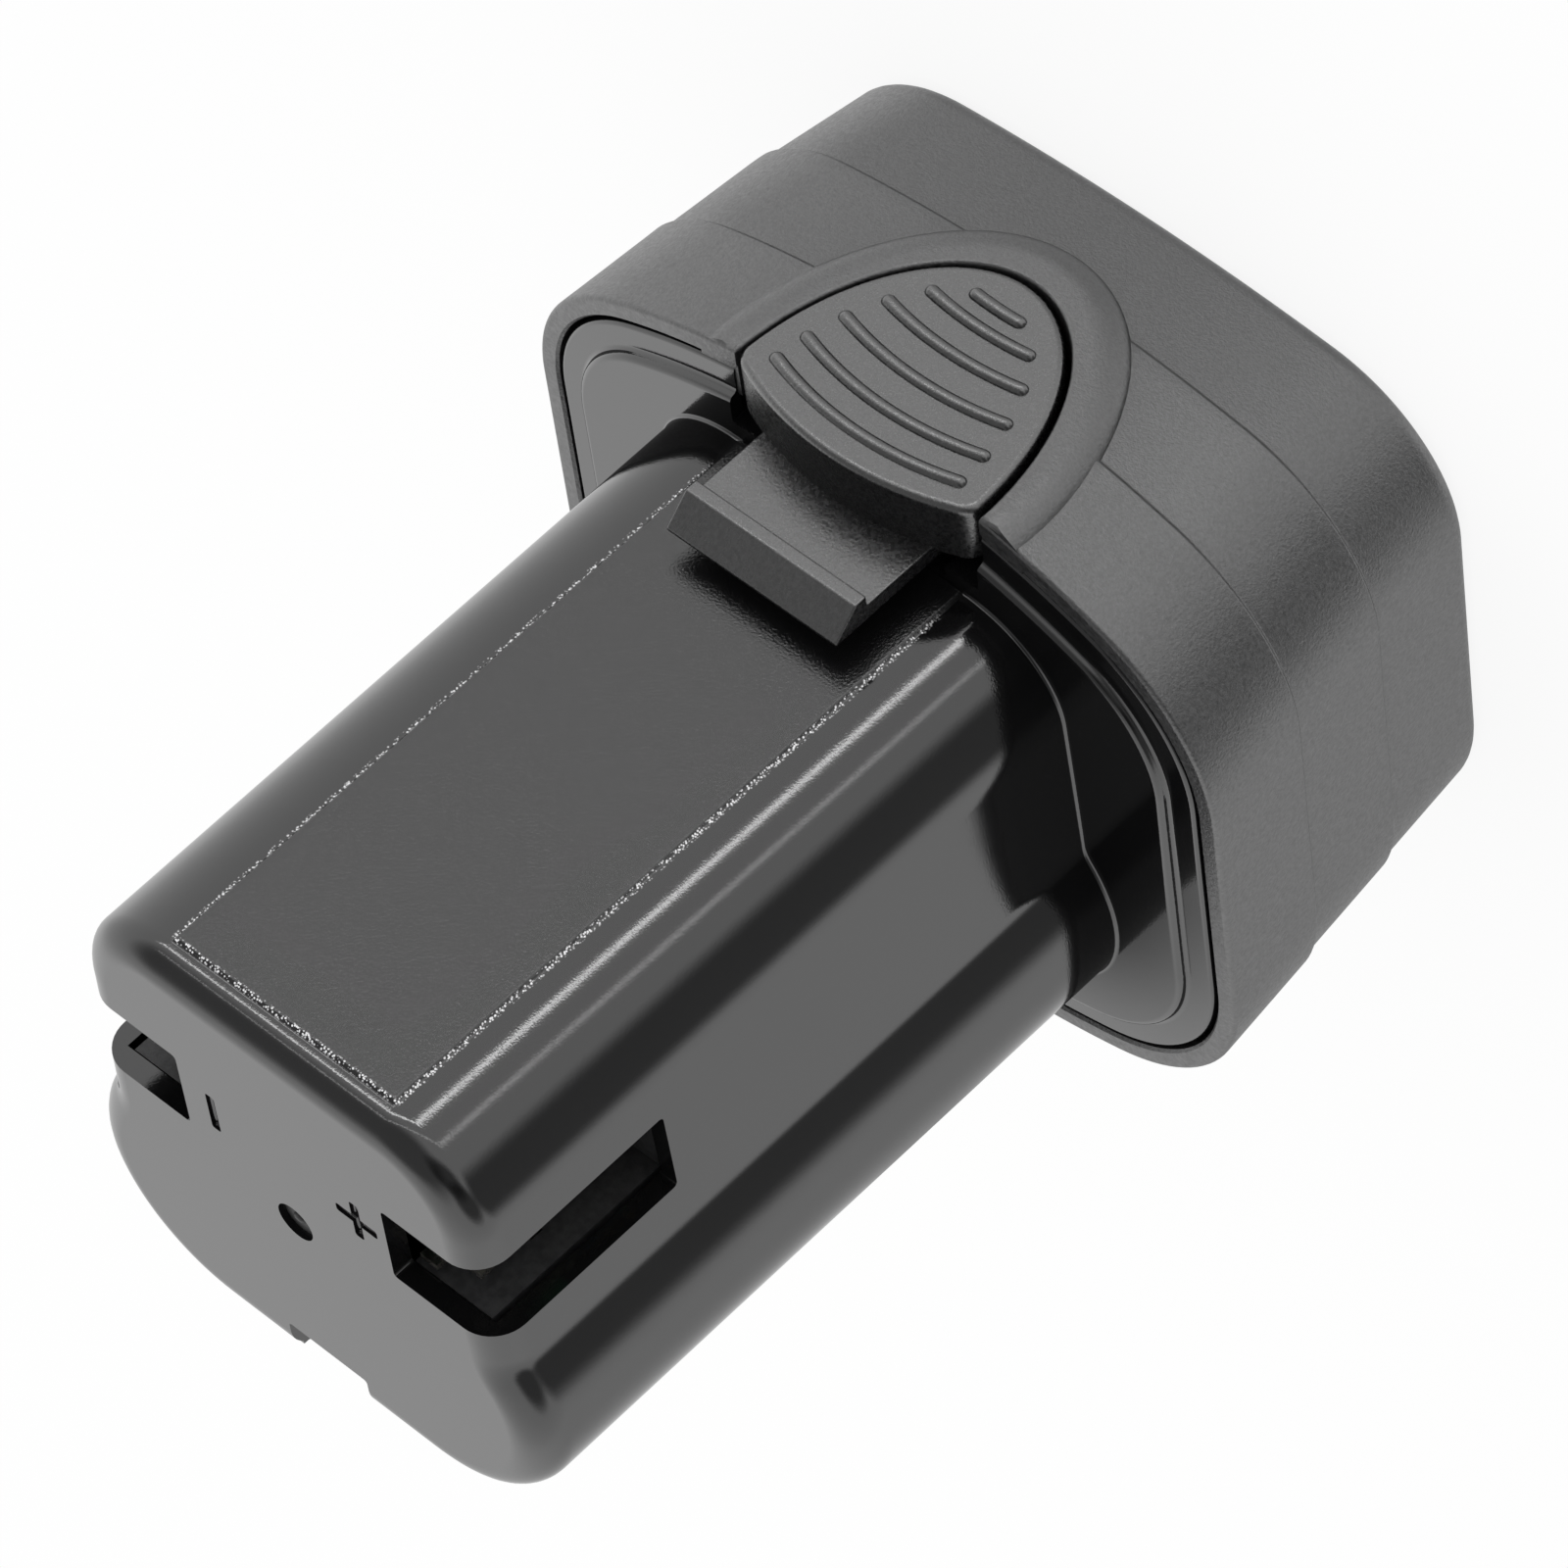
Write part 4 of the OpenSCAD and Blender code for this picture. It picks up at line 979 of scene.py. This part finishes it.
insideNodes = {
    "cellSkin": ("cell_front", "cell_rear_plus", "cell_rear_minus"),
    "fishPaper": ("cell_rings", "top_insulator", "bottom_insulator"),
    "holderPlastic": ("lower_holder", "upper_holder"),
    "nickelStrip": ("link_top", "link_bottom", "positive_tab", "negative_tab"),
    "foamPad": ("bottom_foam",),
    "solderMask": ("protection_board",),
    "ceramic": ("board_passives",),
    "chipBody": ("board_mosfets", "board_controller", "shunt_resistor"),
    "contactMetal": ("positive_contact", "negative_contact"),
    "blackRubber": ("negative_lead",),
    "yellowRubber": ("sense_lead",),
    "zincSteel": ("board_screws",),
}


def dressInside():
    finishes = {"cellSkin": cellSkin(cellFinish), "zincSteel": zincSteel}
    for name, (*values, metal) in insideFinish.items():
        finishes[name] = grainy(name, *values, Metallic=metal)
    for finish, names in insideNodes.items():
        for name in names:
            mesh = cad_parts[name].data
            mesh.materials.clear()
            mesh.materials.append(finishes[finish])
    print("inside dressed:", sum(len(names) for names in insideNodes.values()), "nodes")


dressInside()


# studio: white floor that keeps a faint shadow, and an even dome that in gloss has dark flags and two strips
studio = {
    "floorSize": 3.0, "floorDrop": 0.2, "floorColor": 0.9, "floorGlow": 0.88, "dome": 1.05, "glossDome": 1.32,
    # each flag has its turn from the front, its tilt up, the half angles of its core and fade, and its depth
    "flags": ((-86, -27, 16, 33, 0.8), (-88, 22, 14, 32, 0.8), (-55, 28, 14, 34, 0.8), (6, 58, 28, 58, 0.72),
              (170, -25, 10, 60, 0.45), (69, -64, 15, 38, 0.5)),
    # each strip runs from one direction to another, with its half width, its fade and its brightness
    "strips": (((0.042, -0.922, -0.384), (0.47, -0.881, -0.045), 0.010, 0.035, 9.0),
               ((-0.425, -0.82, -0.384), (0.47, -0.803, 0.362), 0.006, 0.02, 3.5)),
    "stripEnd": 0.08,
    "secondBounce": 0.2,  # gloss seen in gloss is dim, as its light is polarised
    "cardMiddle": (0, 27.6, 40.0), "cardHalf": (27.0, 11.5), "cardFade": (22.0, 10.5), "cardLevel": 0.15,
}


def layFloor():
    bm = bmesh.new()
    bmesh.ops.create_grid(bm, x_segments=1, y_segments=1, size=studio["floorSize"],
                          matrix=Matrix.Translation((0, 0, -studio["floorDrop"] * mm)))
    sheet = placeMesh("floor", bm)
    sheet.visible_glossy = False  # gloss looks through to the dome
    white = (*[studio["floorColor"]] * 3, 1)
    matt = {"Base Color": white, "Roughness": 1.0, "Specular IOR Level": 0}
    paper, surface = newMaterial("floorPaper", **matt)
    sheet.data.materials.append(paper)
    tree = paper.node_tree
    path = addNode(tree, "ShaderNodeLightPath").outputs
    seen = addMath(tree, "ADD", path["Is Camera Ray"], path["Is Transmission Ray"], use_clamp=True)
    share = addMath(tree, "MULTIPLY", seen, studio["floorGlow"])
    glow = addNode(tree, "ShaderNodeEmission", Strength=1.0).outputs["Emission"]
    lit = addNode(tree, "ShaderNodeMixShader", share, surface.outputs["BSDF"], glow).outputs["Shader"]
    below = addNode(tree, "ShaderNodeNewGeometry").outputs["Backfacing"]  # from below, the floor is clear
    clear = addNode(tree, "ShaderNodeBsdfTransparent").outputs["BSDF"]
    showShader(tree, addNode(tree, "ShaderNodeMixShader", below, lit, clear).outputs["Shader"])
    sheet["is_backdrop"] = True


def towards(turn, tilt):
    turn, tilt = math.radians(turn), math.radians(tilt)
    return Vector((math.sin(turn) * math.cos(tilt), -math.cos(turn) * math.cos(tilt), math.sin(tilt)))


def raiseDome():
    world = bpy.data.worlds.new("studio")
    bpy.context.scene.world = world
    world.use_nodes = True
    tree = world.node_tree
    where = addNode(tree, "ShaderNodeTexCoord").outputs["Generated"]

    def along(direction):
        dot = addNode(tree, "ShaderNodeVectorMath", where, direction, operation="DOT_PRODUCT")
        return dot.outputs["Value"]

    def soften(value, start, end, low, high):
        return addSpan(tree, value, start, end, low, high, "SMOOTHSTEP")

    gloss = studio["glossDome"]
    for turn, tilt, core, fade, depth in studio["flags"]:
        near, far = math.cos(math.radians(core)), math.cos(math.radians(fade))
        gloss = addMath(tree, "MULTIPLY", gloss, soften(along(towards(turn, tilt)), far, near, 1, 1 - depth))
    for start, end, half, fade, bright in studio["strips"]:
        start, end = Vector(start).normalized(), Vector(end).normalized()
        middle = (start + end).normalized()
        off = addMath(tree, "ABSOLUTE", along(start.cross(end).normalized()))
        reach = middle.dot(start)
        strip = product(tree, soften(off, half, fade, bright, 0),
                        soften(along(middle), reach - studio["stripEnd"], reach, 0, 1))
        gloss = addMath(tree, "ADD", gloss, strip)
    path = addNode(tree, "ShaderNodeLightPath").outputs
    gloss = product(tree, gloss, soften(path["Glossy Depth"], 1, 2, 1, studio["secondBounce"]))
    background = tree.nodes["Background"].inputs
    feed(background["Color"], (1, 1, 1, 1))
    feed(background["Strength"], addMix(tree, "FLOAT", path["Is Glossy Ray"], studio["dome"], gloss))


# small shade close behind the stem's foot, seen by gloss alone
def hangShade():
    bm = bmesh.new()
    bmesh.ops.create_grid(bm, x_segments=1, y_segments=1, size=1)
    bmesh.ops.scale(bm, verts=bm.verts, vec=(*studio["cardHalf"], 1))
    bmesh.ops.rotate(bm, verts=bm.verts, cent=(0, 0, 0), matrix=Matrix.Rotation(math.pi / 2, 3, "X"))
    shift(bm, *studio["cardMiddle"])
    bmesh.ops.scale(bm, verts=bm.verts, vec=(mm, mm, mm))
    card = placeMesh("shadeCard", bm)
    for ray in ("camera", "diffuse", "transmission", "shadow", "volume_scatter"):
        setattr(card, "visible_" + ray, False)
    paper, _ = newMaterial("shadePaper")
    card.data.materials.append(paper)
    tree = paper.node_tree
    split = addNode(tree, "ShaderNodeSeparateXYZ", objectPlace(tree)).outputs
    middleX, _, middleZ = studio["cardMiddle"]
    fades = []
    for axis, middle, half, fade in zip("XZ", (middleX, middleZ), studio["cardHalf"], studio["cardFade"]):
        off = addMath(tree, "ABSOLUTE", addMath(tree, "SUBTRACT", split[axis], middle * mm))
        fades.append(addSpan(tree, off, half * mm, (half - fade) * mm, kind="SMOOTHSTEP"))
    clear = addNode(tree, "ShaderNodeBsdfTransparent").outputs["BSDF"]
    dim = addNode(tree, "ShaderNodeEmission", Strength=studio["cardLevel"]).outputs["Emission"]
    cover = product(tree, *fades)
    showShader(tree, addNode(tree, "ShaderNodeMixShader", cover, clear, dim).outputs["Shader"])
    card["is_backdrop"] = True


layFloor()
raiseDome()
hangShade()
print("studio ready")
bpy.context.scene.view_settings.view_transform = "Standard"

low, high = (list(corner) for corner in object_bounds())
print("visual box", low, high)
